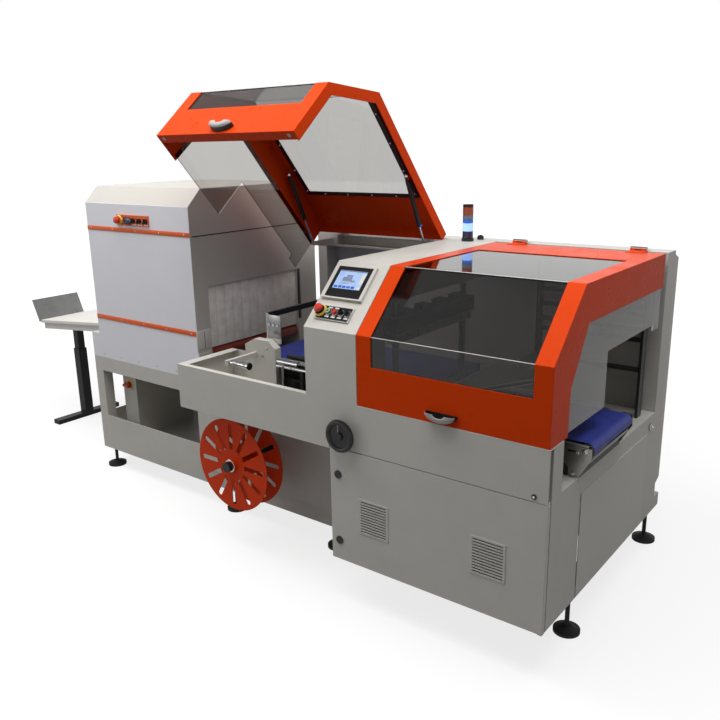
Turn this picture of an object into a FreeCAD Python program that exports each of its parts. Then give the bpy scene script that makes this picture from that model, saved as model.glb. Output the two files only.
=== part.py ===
import FreeCAD, Part
import os
import re
import Sketcher

# L bar sealer with hinged guards, shrink tunnel and outfeed table, in millimetres.
# Z is up, X runs along the line (products travel towards -X) and Y runs from the
# operator's side to the back. The origin is the floor under the front right foot.

V = FreeCAD.Vector
doc = FreeCAD.newDocument("LBarSealer")
sheet = doc.addObject("Spreadsheet::Sheet", "Sizes")

# Driving sizes, each a cell of the sheet under its own alias
SIZES = {
    # Levels above the floor
    "rail_bottom": 110,
    "cabinet_bottom": 188,
    "ledge_height": 688,
    "apron_height": 208,
    "apron_top": 875,
    "belt_level": 820,
    "hood_top": 1383,

    # Plan of the sealer
    "foot_to_end": 45,
    "foot_to_front": 340,
    "machine_depth": 1270,
    "rear_bay": 175,
    "hood_width": 785,
    "column_width": 257,
    "hood_depth": 1065,
    "slope_run": 231,
    "base_setback": 310,
    "base_length": 2974,
    "door_width": 932,

    # Sheet metal, tubes and clearances
    "sheet_steel": 3,
    "tube": 60,
    "gap": 3,
    "seat": 0.3,
    "running": 0.6,

    # Guards
    "band": 140,
    "band_bend": 1042,
    "band_slope_end": 272,
    "flange": 46,
    "window_side": 66,
    "window_low": 1036,
    "window_rear": 800,
    "pane": 5,
    "pane_lap": 20,
    "pane_foot": 888,
    "cutout_front": 476,
    "cutout_rear": 982,
    "cutout_top": 1100,
    "pane_rear_foot": 1073,
    "pivot_back": 1092,
    "hinge_rise": 11,
    "open_angle": 49.5,
    "hinge_radius": 7,
    "hinge_length": 70,
    "handle_width": 128,
    "handle_height": 34,
    "handle_reach": 32,
    "handle_level": 902,

    # Gas struts
    "strut_top_back": 662,
    "strut_top_drop": 40,
    "strut_foot_back": 940,
    "strut_foot_drop": 51,
    "strut_inset": 34,
    "strut_body_radius": 11,
    "strut_rod_radius": 5,
    "strut_body_length": 250,

    # Door, locks and louvres
    "door_thickness": 20,
    "door_gap": 6,
    "lock_radius": 13,
    "lock_inset": 40,
    "louvre_width": 142,
    "louvre_height": 150,
    "louvre_rows": 13,
    "louvre_slot": 5,
    "louvre_level": 337,
    "louvre_first": 146,
    "louvre_second": 648,

    # Trough, handwheel and scrap reel
    "trough_depth": 346,
    "trough_rim": 26,
    "trough_floor": 690,
    "wheel_radius": 67,
    "wheel_rim": 11,
    "wheel_reach": 46,
    "wheel_from_end": 852,
    "wheel_level": 747,
    "reel_radius": 222,
    "reel_level": 421,
    "reel_from_end": 1567,
    "reel_front": 50,
    "reel_spacing": 100,
    "reel_disc": 3,
    "reel_slots": 12,
    "reel_slot_width": 22,
    "reel_slot_inner": 78,
    "reel_slot_outer": 200,
    "reel_core": 44,
    "axle_radius": 12,

    # Conveyors
    "belt_front": 262,
    "belt_width": 380,
    "belt_thickness": 3,
    "belt_radius": 24,
    "belt_shaft": 8,
    "bed_plate": 6,
    "bed_height": 148,

    # Seal jaws and film path
    "jaw_from_end": 775,
    "jaw_front": 150,
    "jaw_length": 590,
    "jaw_width": 70,
    "jaw_level": 1090,
    "jaw_height": 66,
    "guide_rod_radius": 14,
    "film_rod_radius": 11,
    "film_rod_back": 1000,

    # Tunnel
    "tunnel_inset": 73,
    "tunnel_right": 2053,
    "tunnel_rear": 1240,
    "tunnel_front_top": 1556,
    "tunnel_top": 1641,
    "tunnel_chamfer": 87,
    "tunnel_floor": 818,
    "tunnel_seam": 1410,
    "seam_depth": 4,
    "passage_front": 403,
    "passage_rear": 1072,
    "passage_top": 1153,
    "seam_base": 678,

    # Outfeed table
    "table_gap": 14,
    "table_length": 960,
    "table_front": 556,
    "table_width": 420,
    "table_board": 18,
    "table_apron": 42,
    "table_end_level": 722,
    "table_tilt": 5.2,
    "leg_inset": 98,
    "leg_outer": 62,
    "leg_inner": 50,
    "leg_step": 495,
    "leg_foot_length": 490,
    "leg_foot_height": 30,
    "stop_width": 345,
    "stop_height": 150,
    "stop_lean": 24,

    # Frame details
    "post_depth": 106,
    "stile_width": 175,
    "rear_stile": 93,
    "sill_height": 84,
    "beam_depth": 100,
    "beam_height": 84,
    "beam_inset": 80,
    "infeed_cross": 200,
    "bracket_sheet": 5,
    "stand_right": 2093,
    "lower_band": 210,
    "upper_band": 83,
    "cover_bottom": 292,
    "cover_chamfer": 30,
    "door_rise": 10,

    # Control column and its panel
    "arch_leg": 190,
    "arch_beam": 150,
    "panel_side": 17,
    "screen_start": 140,
    "screen_width": 197,
    "screen_depth": 160,
    "screen_rise": 12,
    "screen_sink": 4,
    "screen_border": 14,
    "plate_side": 34,
    "plate_start": 42,
    "plate_width": 167,
    "plate_depth": 66,
    "plate_rise": 6,
    "plate_sheet": 4,
    "button_line": 76,
    "button_first": 92,
    "button_pitch": 31,
    "button_radius": 11,
    "button_rise": 8,
    "button_travel": 3,
    "button_grip": 6,
    "stop_offset": 52,
    "stop_stem": 9,
    "stop_collar": 10,
    "stop_travel": 6,
    "stop_radius": 18,
    "stop_head": 14,
    "tower_back": 1045,
    "tower_radius": 25,
    "tower_height": 172,

    # Hood details
    "hood_lip": 40,
    "hinge_leaf": 38,
    "hinge_pin": 3,
    "hinge_side": 120,
    "strut_eye": 12,
    "strut_flat": 20,
    "strut_pin": 4,
    "strut_rod_length": 165,
    "handle_shift": 15,
    "lock_lower": 275,
    "lock_upper": 565,
    "lock_tongue": 36,
    "door_hinge": 10,
    "wheel_hub": 17,
    "wheel_boss": 10,

    # Conveyor details
    "belt_side": 8,
    "belt_overhang": 13,
    "infeed_start": 700,
    "infeed_overhang": 48,
    "seal_front": 400,
    "seal_width": 560,
    "tunnel_belt_level": 824,
    "guide_inset": 40,

    # Film path details
    "film_plate": 12,
    "film_left": 520,
    "film_top": 1290,
    "fold_left": 640,
    "fold_right": 330,
    "guide_left": 1700,
    "guide_width": 195,
    "guide_depth": 40,
    "guide_top": 958,
    "trim_level": 884,
    "trim_radius": 12,
    "trim_length": 110,
    "guard_left": 1600,
    "guard_length": 545,

    # Tunnel details
    "tunnel_plate_left": 2623,
    "tunnel_plate_width": 264,
    "tunnel_controls": 1474,
    "knob_first": 143,
    "knob_pitch": 50,
    "knob_radius": 13,
    "knob_depth": 14,
    "curtain_sheet": 1.6,
    "box_inset": 124,
    "box_width": 120,
    "box_front": 400,
    "box_depth": 400,
    "switch_level": 505,
    "leg_riser_base": 200,
    "stop_knuckle": 6,

    # Levelling feet
    "foot_radius": 52,
    "foot_pad": 14,
    "foot_stem": 9,
}

# Places that follow from the sizes
PLACES = {
    "bend_height": "hood_top - slope_run",
    "pivot_height": "hood_top + hinge_rise",
    "strut_foot_height": "hood_top - strut_foot_drop",
    "bed_seat": "apron_top - apron_height",
    "tunnel_left": "base_length - tunnel_inset",
    "box_left": "base_length - box_inset",
}

for row, (name, value) in enumerate(SIZES.items(), 1):
    sheet.set("A%d" % row, name.replace("_", " "))
    sheet.set("B%d" % row, str(value))
    sheet.setAlias("B%d" % row, name)
doc.recompute()


def link(text):
    """Point every size named in an expression at its cell, and spell out every place."""
    def cell(match):
        name = match.group()
        if name in PLACES:
            return "(" + link(PLACES[name]) + ")"
        return "Sizes." + name if name in SIZES else name
    return re.sub(r"[a-z_]+[a-z0-9_]*", cell, str(text))


probe = doc.addObject("App::FeaturePython", "Probe")
probe.addProperty("App::PropertyFloat", "Result")


def number(text):
    """Value of an expression of sizes, for counts and first guesses."""
    probe.setExpression("Result", link(text))
    probe.recompute()
    return probe.Result


def left(text):
    """X of a place that lies this far left of the sealer's right end."""
    return "(foot_to_end - (%s))" % text


def back(text):
    """Y of a place that lies this far behind the sealer's front face."""
    return "((%s) - foot_to_front)" % text


def place(piece, x, y, z):
    piece.setExpression("Placement.Base.x", link(x))
    piece.setExpression("Placement.Base.y", link(y))
    piece.setExpression("Placement.Base.z", link(z))


def block(x_left, y_front, z_base, width, depth, height):
    """Box given by the distances of its left, front and lower faces."""
    piece = doc.addObject("Part::Box", "Block")
    piece.setExpression("Length", link(width))
    piece.setExpression("Width", link(depth))
    piece.setExpression("Height", link(height))
    place(piece, left(x_left), back(y_front), z_base)
    return piece


TURNS = {
    "x": FreeCAD.Rotation(V(0, 1, 0), 90),
    "y": FreeCAD.Rotation(V(1, 0, 0), -90),
    "z": FreeCAD.Rotation(),
}


def rod(axis, x_left, y_front, z_base, radius, length):
    """Cylinder along one axis, from its starting point."""
    piece = doc.addObject("Part::Cylinder", "Rod")
    piece.setExpression("Radius", link(radius))
    piece.setExpression("Height", link(length))
    piece.Placement = FreeCAD.Placement(V(), TURNS[axis])
    place(piece, left(x_left), back(y_front), z_base)
    return piece


def cone(axis, x_left, y_front, z_base, radius, tip_radius, length):
    piece = doc.addObject("Part::Cone", "Cone")
    piece.setExpression("Radius1", link(radius))
    piece.setExpression("Radius2", link(tip_radius))
    piece.setExpression("Height", link(length))
    piece.Placement = FreeCAD.Placement(V(), TURNS[axis])
    place(piece, left(x_left), back(y_front), z_base)
    return piece


PLANES = {
    "x": (FreeCAD.Rotation(V(0, 1, 0), V(0, 0, 1), V(1, 0, 0), "XYZ"), V(1, 0, 0)),
    "y": (FreeCAD.Rotation(V(1, 0, 0), 90), V(0, 1, 0)),
    "z": (FreeCAD.Rotation(), V(0, 0, 1)),
}


def outline(axis, corners, start, depth):
    """Prism of a polygon, extruded along one axis from its starting face.

    Corners are (behind front, height) along x, (left of end, height) along y
    and (left of end, behind front) along z.
    """
    turn, direction = PLANES[axis]
    sketch = doc.addObject("Sketcher::SketchObject", "Outline")
    sketch.Placement = FreeCAD.Placement(V(), turn)
    pairs = []
    for first, second in corners:
        across = back(first) if axis == "x" else left(first)
        along = back(second) if axis == "z" else second
        pairs.append((across, along))
    guesses = [(number(a), number(b)) for a, b in pairs]
    count = len(guesses)
    for k in range(count):
        here = V(guesses[k][0], guesses[k][1], 0)
        after = guesses[(k + 1) % count]
        sketch.addGeometry(Part.LineSegment(here, V(after[0], after[1], 0)), False)
    for k in range(count):
        sketch.addConstraint(Sketcher.Constraint("Coincident", k, 2, (k + 1) % count, 1))
    for k in range(count):
        for kind, value, text in zip(("DistanceX", "DistanceY"), guesses[k], pairs[k]):
            index = sketch.addConstraint(Sketcher.Constraint(kind, -1, 1, k, 1, value))
            sketch.setExpression("Constraints[%d]" % index, link(text))
    prism = doc.addObject("Part::Extrusion", "Prism")
    prism.Base = sketch
    prism.DirMode = "Custom"
    prism.Dir = direction
    prism.Solid = True
    prism.setExpression("LengthFwd", link(depth))
    where = {"x": left, "y": back, "z": str}[axis](start)
    sketch.setExpression("Placement.Base." + axis, link(where))
    return prism


def fuse(*pieces):
    whole = doc.addObject("Part::MultiFuse", "Fuse")
    whole.Shapes = list(pieces)
    return whole


def cut(base, *tools):
    """Base with every tool taken away."""
    result = doc.addObject("Part::Cut", "Cut")
    result.Base = base
    result.Tool = tools[0] if len(tools) == 1 else fuse(*tools)
    return result


def together(*pieces):
    """Separate solids that count as one sub-part."""
    group = doc.addObject("Part::Compound", "Group")
    group.Links = list(pieces)
    return group


def turned(piece, axis, angle, first, second):
    """Turn a finished piece about a line along x or y, given by its two other coordinates."""
    holder = doc.addObject("Part::Compound", "Turned")
    holder.Links = [piece]
    direction = {"x": V(1, 0, 0), "y": V(0, 1, 0), "z": V(0, 0, 1)}[axis]
    holder.Placement = FreeCAD.Placement(V(), FreeCAD.Rotation(direction, 1))
    holder.setExpression("Placement.Rotation.Angle", link(angle))
    a, b, t = first, second, angle
    along_first = "({a}) - ({a}) * cos({t}) + ({b}) * sin({t})".format(a=a, b=b, t=t)
    along_second = "({b}) - ({a}) * sin({t}) - ({b}) * cos({t})".format(a=a, b=b, t=t)
    names = {"x": ("y", "z"), "y": ("z", "x"), "z": ("x", "y")}[axis]
    holder.setExpression("Placement.Base." + names[0], link(along_first))
    holder.setExpression("Placement.Base." + names[1], link(along_second))
    return holder


NODES = []


def node(name, piece):
    """Name a finished sub-part."""
    piece.Label = name
    NODES.append(piece)
    return piece


# Places that several pieces share, counted left of the right end or behind the front

COLUMN_RIGHT = "(hood_width + 2 * gap)"
COLUMN_LEFT = "(%s + column_width)" % COLUMN_RIGHT
SEALER_LEFT = "(%s + hood_width + 2 * gap)" % COLUMN_LEFT
HOOD_RIGHT = "gap"
SEAL_HOOD_RIGHT = "(%s + gap)" % COLUMN_LEFT
APRON_BOTTOM = "(apron_top - apron_height)"
SILL = "(apron_top + seat)"
DOOR_HEIGHT = "(%s - cabinet_bottom + door_rise)" % APRON_BOTTOM
FRAME_FRONT = "(door_thickness + door_gap)"
REAR_POST = "(machine_depth - rear_bay)"
SLOPE = "atan2(hood_top - bend_height; slope_run)"


# Base frame of square rails under the whole line, with the tunnel's stand at its left end

def base_frame():
    rail = "(tube + 20)"
    right = "(tube + 170)"
    depth = "(machine_depth - base_setback)"
    length = "(base_length - %s)" % right
    pieces = []
    for front in ("base_setback", "(machine_depth - tube)"):
        pieces.append(block("base_length", front, "rail_bottom", length, "tube", rail))
    crossings = ("base_length", "stand_right", SEALER_LEFT, "(%s + tube)" % COLUMN_RIGHT,
                 "(%s + tube)" % right)
    for start in crossings:
        pieces.append(block(start, "base_setback", "rail_bottom", "tube", depth, rail))
    stand_top = "(seam_base - rail_bottom)"
    window = "(base_length - stand_right + tube)"
    for start in ("base_length", "stand_right"):
        for front in ("base_setback", "(tunnel_rear - tube)"):
            pieces.append(block(start, front, "rail_bottom", "tube + 10", "tube", stand_top))
    bands = (("rail_bottom", "lower_band"), ("(seam_base - upper_band)", "upper_band"))
    for level, height in bands:
        for front in ("base_setback", "(tunnel_rear - sheet_steel)"):
            pieces.append(block("base_length", front, level, window, "sheet_steel", height))
        for start in ("base_length", "(stand_right - tube + sheet_steel)"):
            pieces.append(block(start, "base_setback", level, "sheet_steel",
                                "tunnel_rear - base_setback", height))
    pieces.append(block("base_length - sheet_steel", "base_setback + sheet_steel", "rail_bottom + %s" % rail,
                        window + " - 2 * sheet_steel", "tunnel_rear - base_setback - 2 * sheet_steel",
                        "sheet_steel"))
    pieces.append(block("base_length - sheet_steel", "tunnel_rear - 2 * sheet_steel", "rail_bottom",
                        window + " - 2 * sheet_steel", "sheet_steel", stand_top))
    return node("base_frame", fuse(*pieces))


# Welded frame of the sealer with its posts, sills and rear beam

def sealer_frame():
    lower = "cabinet_bottom"
    run = "(%s - post_depth)" % REAR_POST
    sill_base = "(ledge_height - sill_height)"
    cross_base = "(bed_seat - tube)"
    sides = "(%s + tube)" % SEALER_LEFT
    pieces = [
        block("tube", FRAME_FRONT, lower, "tube", "post_depth - %s" % FRAME_FRONT, "apron_top - %s" % lower),
        block("tube", "post_depth", sill_base, "tube", run, "sill_height"),
        block("tube", "post_depth", lower, "tube", "stile_width", "ledge_height - %s" % lower),
        block("tube", "(%s - rear_stile)" % REAR_POST, lower, "tube", "rear_stile", "ledge_height - %s" % lower),
        block("tube", "post_depth", lower, "tube", run, "tube"),
        block("tube", REAR_POST, lower, "tube", "beam_depth", "hood_top - %s" % lower),
        block(sides, REAR_POST, "rail_bottom", "tube", "beam_depth", "hood_top - rail_bottom"),
        block(sides, REAR_POST, "hood_top - beam_height", sides, "beam_depth", "beam_height"),
        block(sides, "base_setback", cross_base, sides + " - tube", "tube", "tube"),
        block(sides, REAR_POST, cross_base, sides + " - tube", "tube", "tube"),
        block("tube", REAR_POST, lower, "tube", "rear_bay - 10", "tube"),
        block(sides, "base_setback", "rail_bottom + tube + 20", "tube", "tube",
              "%s - rail_bottom - tube - 20" % cross_base),
    ]
    bay = "(%s - base_setback)" % REAR_POST
    for start in (sides, COLUMN_LEFT, COLUMN_RIGHT + " + tube", "infeed_cross"):
        pieces.append(block(start, "base_setback", cross_base, "tube", bay, "tube"))
    for front in ("base_setback", REAR_POST):
        pieces.append(block(COLUMN_RIGHT + " + tube", front, "rail_bottom + tube + 20", "tube", "tube",
                            "%s - rail_bottom - tube - 20" % cross_base))
    axis_at = "door_hinge"
    plates = (("cabinet_bottom - bracket_sheet - seat", "bracket_sheet"),
              (APRON_BOTTOM + " + door_rise + seat", "bracket_sheet"))
    for level, height in plates:
        pieces.append(block("2 * door_hinge - 2", "sheet_steel + 1", level, "2 * door_hinge - 4",
                            FRAME_FRONT + " - sheet_steel", height))
    for level in ("cabinet_bottom - seat - 1", APRON_BOTTOM + " + door_rise + seat + 1 - 2 * sheet_steel"):
        pieces.append(rod("z", axis_at, "door_hinge", level, "hinge_pin", "2 * sheet_steel"))
    recess = block("%s - beam_inset" % SEALER_LEFT, REAR_POST + " - 1", "hood_top - beam_height + 10",
                   "hood_width - 2 * beam_inset", "beam_depth / 2", "beam_height - 30")
    arms = []
    for hood_right in (HOOD_RIGHT, SEAL_HOOD_RIGHT):
        for inset in ("strut_inset", "(hood_width - strut_inset)"):
            away = "strut_eye / 2 + seat + bracket_sheet" if inset == "strut_inset" else "-strut_eye / 2 - seat"
            start = "(%s + %s + %s)" % (hood_right, inset, away)
            corners = (("strut_foot_back - strut_body_radius", "strut_foot_height - strut_body_radius"),
                       (REAR_POST, "strut_foot_height - 3 * strut_body_radius"),
                       (REAR_POST, "strut_foot_height + strut_body_radius"),
                       ("strut_foot_back - strut_body_radius", "strut_foot_height + strut_body_radius"))
            arms.append(outline("x", corners, start, "bracket_sheet"))
    return node("sealer_frame", fuse(cut(fuse(*pieces), recess), *arms, *fixed_hinges()))


# Closed sheet cabinet behind the front door

def front_cabinet():
    width = "(door_width - tube)"
    depth = "(base_setback - %s)" % FRAME_FRONT
    height = "(%s - cabinet_bottom)" % APRON_BOTTOM
    shell = block("door_width", FRAME_FRONT, "cabinet_bottom", width, depth, height)
    hollow = block("door_width - sheet_steel", FRAME_FRONT + " - 1", "cabinet_bottom + sheet_steel",
                   width + " - 2 * sheet_steel", depth + " + 1 - sheet_steel", height + " - 2 * sheet_steel")
    return cut(shell, hollow)


# Folded front apron, with the open trough for the trim rollers left of the column

def apron_trough():
    length = "(%s - %s)" % (SEALER_LEFT, COLUMN_LEFT)
    face = block(SEALER_LEFT, "0", APRON_BOTTOM, SEALER_LEFT, "sheet_steel", "apron_height")
    notch = block("door_width + gap", "-1", APRON_BOTTOM + " - 1", "door_width + gap + 1",
                  "sheet_steel + 2", "door_rise + gap + 1")
    lip = block(COLUMN_LEFT, "0", APRON_BOTTOM, COLUMN_LEFT + " - door_width - gap", "trough_rim", "sheet_steel")
    sill = block(COLUMN_LEFT, "0", "apron_top - sheet_steel", COLUMN_LEFT, FRAME_FRONT, "sheet_steel")
    ledge = block(COLUMN_LEFT, FRAME_FRONT, "apron_top - sheet_steel", COLUMN_LEFT + " - tube",
                  "post_depth - %s" % FRAME_FRONT, "sheet_steel")
    box = block(SEALER_LEFT, "0", APRON_BOTTOM, length, "trough_depth", "apron_height")
    inner_length = length + " - 2 * sheet_steel"
    inner_depth = "trough_depth - 2 * sheet_steel"
    cavity = block(SEALER_LEFT + " - sheet_steel", "sheet_steel", "trough_floor + sheet_steel",
                   inner_length, inner_depth, "apron_top - trough_floor - 2 * sheet_steel")
    mouth = block(SEALER_LEFT + " - trough_rim", "trough_rim", "trough_floor + 2 * sheet_steel",
                  length + " - trough_rim - sheet_steel", "trough_depth - trough_rim - sheet_steel",
                  "apron_top - trough_floor")
    below = block(SEALER_LEFT + " - sheet_steel", "trough_rim", APRON_BOTTOM + " - 1",
                  inner_length, "trough_depth - trough_rim - sheet_steel", "trough_floor - %s + 1" % APRON_BOTTOM)
    above_lip = block(SEALER_LEFT + " - sheet_steel", "sheet_steel", APRON_BOTTOM + " + sheet_steel",
                      inner_length, "trough_rim", "trough_floor - %s - sheet_steel" % APRON_BOTTOM)
    trough = cut(box, cavity, mouth, below, above_lip)
    boss = rod("y", "wheel_from_end", "-wheel_boss", "wheel_level", "wheel_hub + 4", "wheel_boss + 1")
    return node("apron_trough", fuse(cut(face, notch), lip, sill, ledge, trough, boss))


# Control column: a hollow arch that parts the two chambers and carries the panel

def arch(inset, start, width):
    """Column outline, drawn in by an inset all round."""
    corners = (
        ("(%s)" % inset, "apron_top + (%s)" % inset),
        ("(%s)" % inset, "bend_height - 0.414 * (%s)" % inset),
        ("slope_run + 0.414 * (%s)" % inset, "hood_top - (%s)" % inset),
        (REAR_POST + " - (%s)" % inset, "hood_top - (%s)" % inset),
        (REAR_POST + " - (%s)" % inset, "hood_top - arch_beam + (%s)" % inset),
        ("arch_leg + slope_run + 0.414 * (%s) - 60" % inset, "hood_top - arch_beam + (%s)" % inset),
        ("arch_leg - (%s)" % inset, "bend_height - 60 - 0.414 * (%s)" % inset),
        ("arch_leg - (%s)" % inset, "apron_top + (%s)" % inset),
    )
    return outline("x", corners, start, width)


def control_column():
    shell = arch("0", COLUMN_LEFT, "column_width")
    hollow = arch("sheet_steel", COLUMN_LEFT + " - sheet_steel", "column_width - 2 * sheet_steel")
    frame = block(COLUMN_LEFT + " - panel_side", "screen_start", "bend_height", "screen_width",
                  "screen_depth", "screen_rise")
    well = block(COLUMN_LEFT + " - panel_side - screen_border", "screen_start + screen_border / 2",
                 "bend_height + screen_rise - screen_sink", "screen_width - 2 * screen_border",
                 "screen_depth - screen_border", "screen_rise")
    pad = block(COLUMN_LEFT + " - plate_side", "plate_start", "bend_height", "plate_width",
                "plate_depth", "plate_rise")
    surface = turned(fuse(cut(frame, well), pad), "x", SLOPE, back("0"), "bend_height")
    return node("control_column", fuse(cut(shell, hollow), surface))


def touchscreen():
    glass = block(COLUMN_LEFT + " - panel_side - screen_border - seat",
                  "screen_start + screen_border / 2 + seat", "bend_height + screen_rise - screen_sink",
                  "screen_width - 2 * screen_border - 2 * seat", "screen_depth - screen_border - 2 * seat",
                  "screen_sink + 1")
    return node("touchscreen", turned(glass, "x", SLOPE, back("0"), "bend_height"))


def control_plate():
    """Black plate with a bore for each push button and selector."""
    base = "(bend_height + plate_rise)"
    plate = block(COLUMN_LEFT + " - plate_side - 6", "plate_start + 5", base, "plate_width - 12",
                  "plate_depth - 10", "plate_sheet")
    bores = []
    for offset in BUTTON_OFFSETS:
        bores.append(rod("z", COLUMN_LEFT + " - %s" % offset, "button_line", base + " - 1",
                         "button_radius + running / 2", "plate_sheet + 2"))
    middle = "%s - stop_offset" % COLUMN_LEFT
    collar = rod("z", middle, "button_line", base + " + plate_sheet", "stop_radius + 3", "stop_collar")
    bores.append(rod("z", middle, "button_line", base + " + plate_sheet", "stop_stem + running / 2",
                     "stop_collar + 1"))
    return node("control_plate", turned(cut(fuse(plate, collar), *bores), "x", SLOPE, back("0"),
                                        "bend_height"))


BUTTON_NAMES = ("start_button", "stop_button", "mode_selector", "speed_selector")
BUTTON_OFFSETS = ("button_first", "(button_first + button_pitch)", "(button_first + 2 * button_pitch)",
                  "(button_first + 3 * button_pitch)")


def panel_buttons():
    """Two push buttons and two turning selectors on the sloping plate."""
    base = "(bend_height + plate_rise + button_travel + seat)"
    for name, offset in zip(BUTTON_NAMES, BUTTON_OFFSETS):
        middle = "%s - %s" % (COLUMN_LEFT, offset)
        body = rod("z", middle, "button_line", base, "button_radius", "plate_sheet + button_rise")
        if name.endswith("selector"):
            grip = block(middle + " + button_grip / 2", "button_line - button_radius + 1",
                         base + " + plate_sheet + button_rise - 1", "button_grip", "2 * button_radius - 2",
                         "button_rise + 1")
            body = fuse(body, grip)
        node(name, turned(body, "x", SLOPE, back("0"), "bend_height"))


def stop_mushroom(axis, middle, front, level):
    """Emergency stop head on its stem, pointing away from the panel along an axis."""
    if axis == "z":
        stem = rod("z", middle, front, level + " + stop_travel + seat", "stop_stem", "stop_collar")
        head = rod("z", middle, front, level + " + stop_collar + stop_travel", "stop_radius", "stop_head")
        top = cone("z", middle, front, level + " + stop_collar + stop_travel + stop_head",
                   "stop_radius", "stop_radius - 6", "4")
        return fuse(stem, head, top)
    stem = rod("y", middle, front + " - stop_collar - stop_travel - seat", level, "stop_stem", "stop_collar")
    head = rod("y", middle, front + " - stop_collar - stop_travel - stop_head", level, "stop_radius", "stop_head")
    top = cone("y", middle, front + " - stop_collar - stop_travel - stop_head - 4", level,
               "stop_radius - 6", "stop_radius", "4")
    return fuse(stem, head, top)


def emergency_stops():
    middle = "%s - stop_offset" % COLUMN_LEFT
    level = "(bend_height + plate_rise + plate_sheet)"
    node("emergency_stop", turned(stop_mushroom("z", middle, "button_line", level), "x", SLOPE, back("0"),
                                  "bend_height"))
    node("tunnel_stop", stop_mushroom("y", TUNNEL_STOP, TUNNEL_PLATE, "tunnel_controls"))


# Side and rear sheets

def side_panels():
    height = "(ledge_height - sill_height - cabinet_bottom + 6)"
    right = block("0", "post_depth + stile_width + gap", "cabinet_bottom + 6", "sheet_steel",
                  "%s - rear_stile - post_depth - stile_width" % REAR_POST, height)
    rail_top = "(rail_bottom + tube + 20)"
    long_side = block("stand_right - tube - 10", "base_setback - sheet_steel", rail_top,
                      "stand_right - tube - 10 - door_width - gap", "sheet_steel",
                      "%s - %s - seat" % (APRON_BOTTOM, rail_top))
    return node("body_panels", together(front_cabinet(), right, long_side))


def rear_cover():
    front = "(%s + beam_depth)" % REAR_POST
    corners = ((front, "cover_bottom"), ("machine_depth", "cover_bottom + cover_chamfer"),
               ("machine_depth", "hood_top - 10 - cover_chamfer"), (front, "hood_top - 10"))
    inner = (("%s + sheet_steel" % front, "cover_bottom + 2 * sheet_steel"),
             ("machine_depth - sheet_steel", "cover_bottom + cover_chamfer + sheet_steel"),
             ("machine_depth - sheet_steel", "hood_top - 10 - cover_chamfer - sheet_steel"),
             ("%s + sheet_steel" % front, "hood_top - 10 - 2 * sheet_steel"))
    shell = outline("x", corners, SEALER_LEFT, SEALER_LEFT + " - 8")
    hollow = outline("x", inner, SEALER_LEFT + " - sheet_steel", SEALER_LEFT + " - 8 - 2 * sheet_steel")
    return node("rear_cover", cut(shell, hollow))


def levelling_feet():
    feet = []
    places = (("foot_to_end", "cabinet_bottom"), (SEALER_LEFT + " + tube / 2", "rail_bottom"),
              ("base_length - tube - 10", "rail_bottom"), ("door_width + 250", "rail_bottom"))
    for start, top in places:
        for front in ("foot_to_front", "machine_depth - tube / 2"):
            pad = rod("z", start, front, "0", "foot_radius", "foot_pad")
            dome = cone("z", start, front, "foot_pad", "foot_radius - 4", "2 * foot_stem", "foot_pad")
            stem = rod("z", start, front, "2 * foot_pad", "foot_stem", top + " - 2 * foot_pad")
            nut = rod("z", start, front, top + " - foot_stem", "2 * foot_stem", "foot_stem")
            feet.append(fuse(pad, dome, stem, nut))
    return node("levelling_feet", together(*feet))


# Front door with its louvres and quarter-turn locks

def louvre(first):
    """Rows of slots cut right through, inside a shallow raised panel."""
    raised = block(first + " + louvre_width", "-2", "louvre_level", "louvre_width", "2", "louvre_height")
    slots = []
    for row in range(SIZES["louvre_rows"] - 1):
        level = "louvre_level + louvre_height / louvre_rows * %d - louvre_slot / 2" % (row + 1)
        slots.append(block(first + " + louvre_width - 10", "-3", level, "louvre_width - 20",
                           "door_thickness + 6", "louvre_slot"))
    return raised, slots


def cabinet_door():
    panel = block("door_width", "0", "cabinet_bottom", "door_width", "door_thickness", DOOR_HEIGHT)
    hollow = block("door_width - 2 * sheet_steel", "sheet_steel", "cabinet_bottom + 2 * sheet_steel",
                   "door_width - 4 * sheet_steel", "door_thickness", DOOR_HEIGHT + " - 4 * sheet_steel")
    raised = []
    slots = []
    for first in ("louvre_first", "louvre_second"):
        plate, rows = louvre(first)
        raised.append(plate)
        slots.extend(rows)
    for level in LOCK_LEVELS:
        slots.append(rod("y", "door_width - lock_inset", "-1", level, "lock_radius + running / 2",
                         "sheet_steel + 2"))
    slots.append(rod("z", "door_hinge", "door_hinge", "cabinet_bottom - 1", "hinge_pin + 0.08",
                     "apron_top - cabinet_bottom"))
    return node("cabinet_door", cut(fuse(cut(panel, hollow), *raised), *slots))


LOCK_LEVELS = ("lock_lower", "lock_upper")


def door_locks():
    for name, level in zip(("door_lock_lower", "door_lock_upper"), LOCK_LEVELS):
        middle = "door_width - lock_inset"
        barrel = rod("y", middle, "0", level, "lock_radius", "sheet_steel + 4")
        flange = rod("y", middle, "-4 - seat", level, "lock_radius + 4", "4")
        neck = rod("y", middle, "-1 - seat", level, "lock_radius - 2", "2")
        tongue = block(middle + " + lock_radius / 2", "sheet_steel + 2", level + " - lock_radius / 2",
                       "lock_radius", "3", "lock_tongue")
        node(name, fuse(barrel, flange, neck, tongue))


# Guards: a bent sheet frame with a wide band on the outer side, glazing, handle and struts

def band_plate(start, width):
    corners = (("0", SILL), ("0", "bend_height"), ("slope_run", "hood_top"), ("hood_depth", "hood_top"),
               ("hood_depth", "hood_top - band"), ("band_slope_end", "hood_top - band"),
               ("band + 5", "band_bend"), ("band", SILL))
    return outline("x", corners, start, width)


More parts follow.
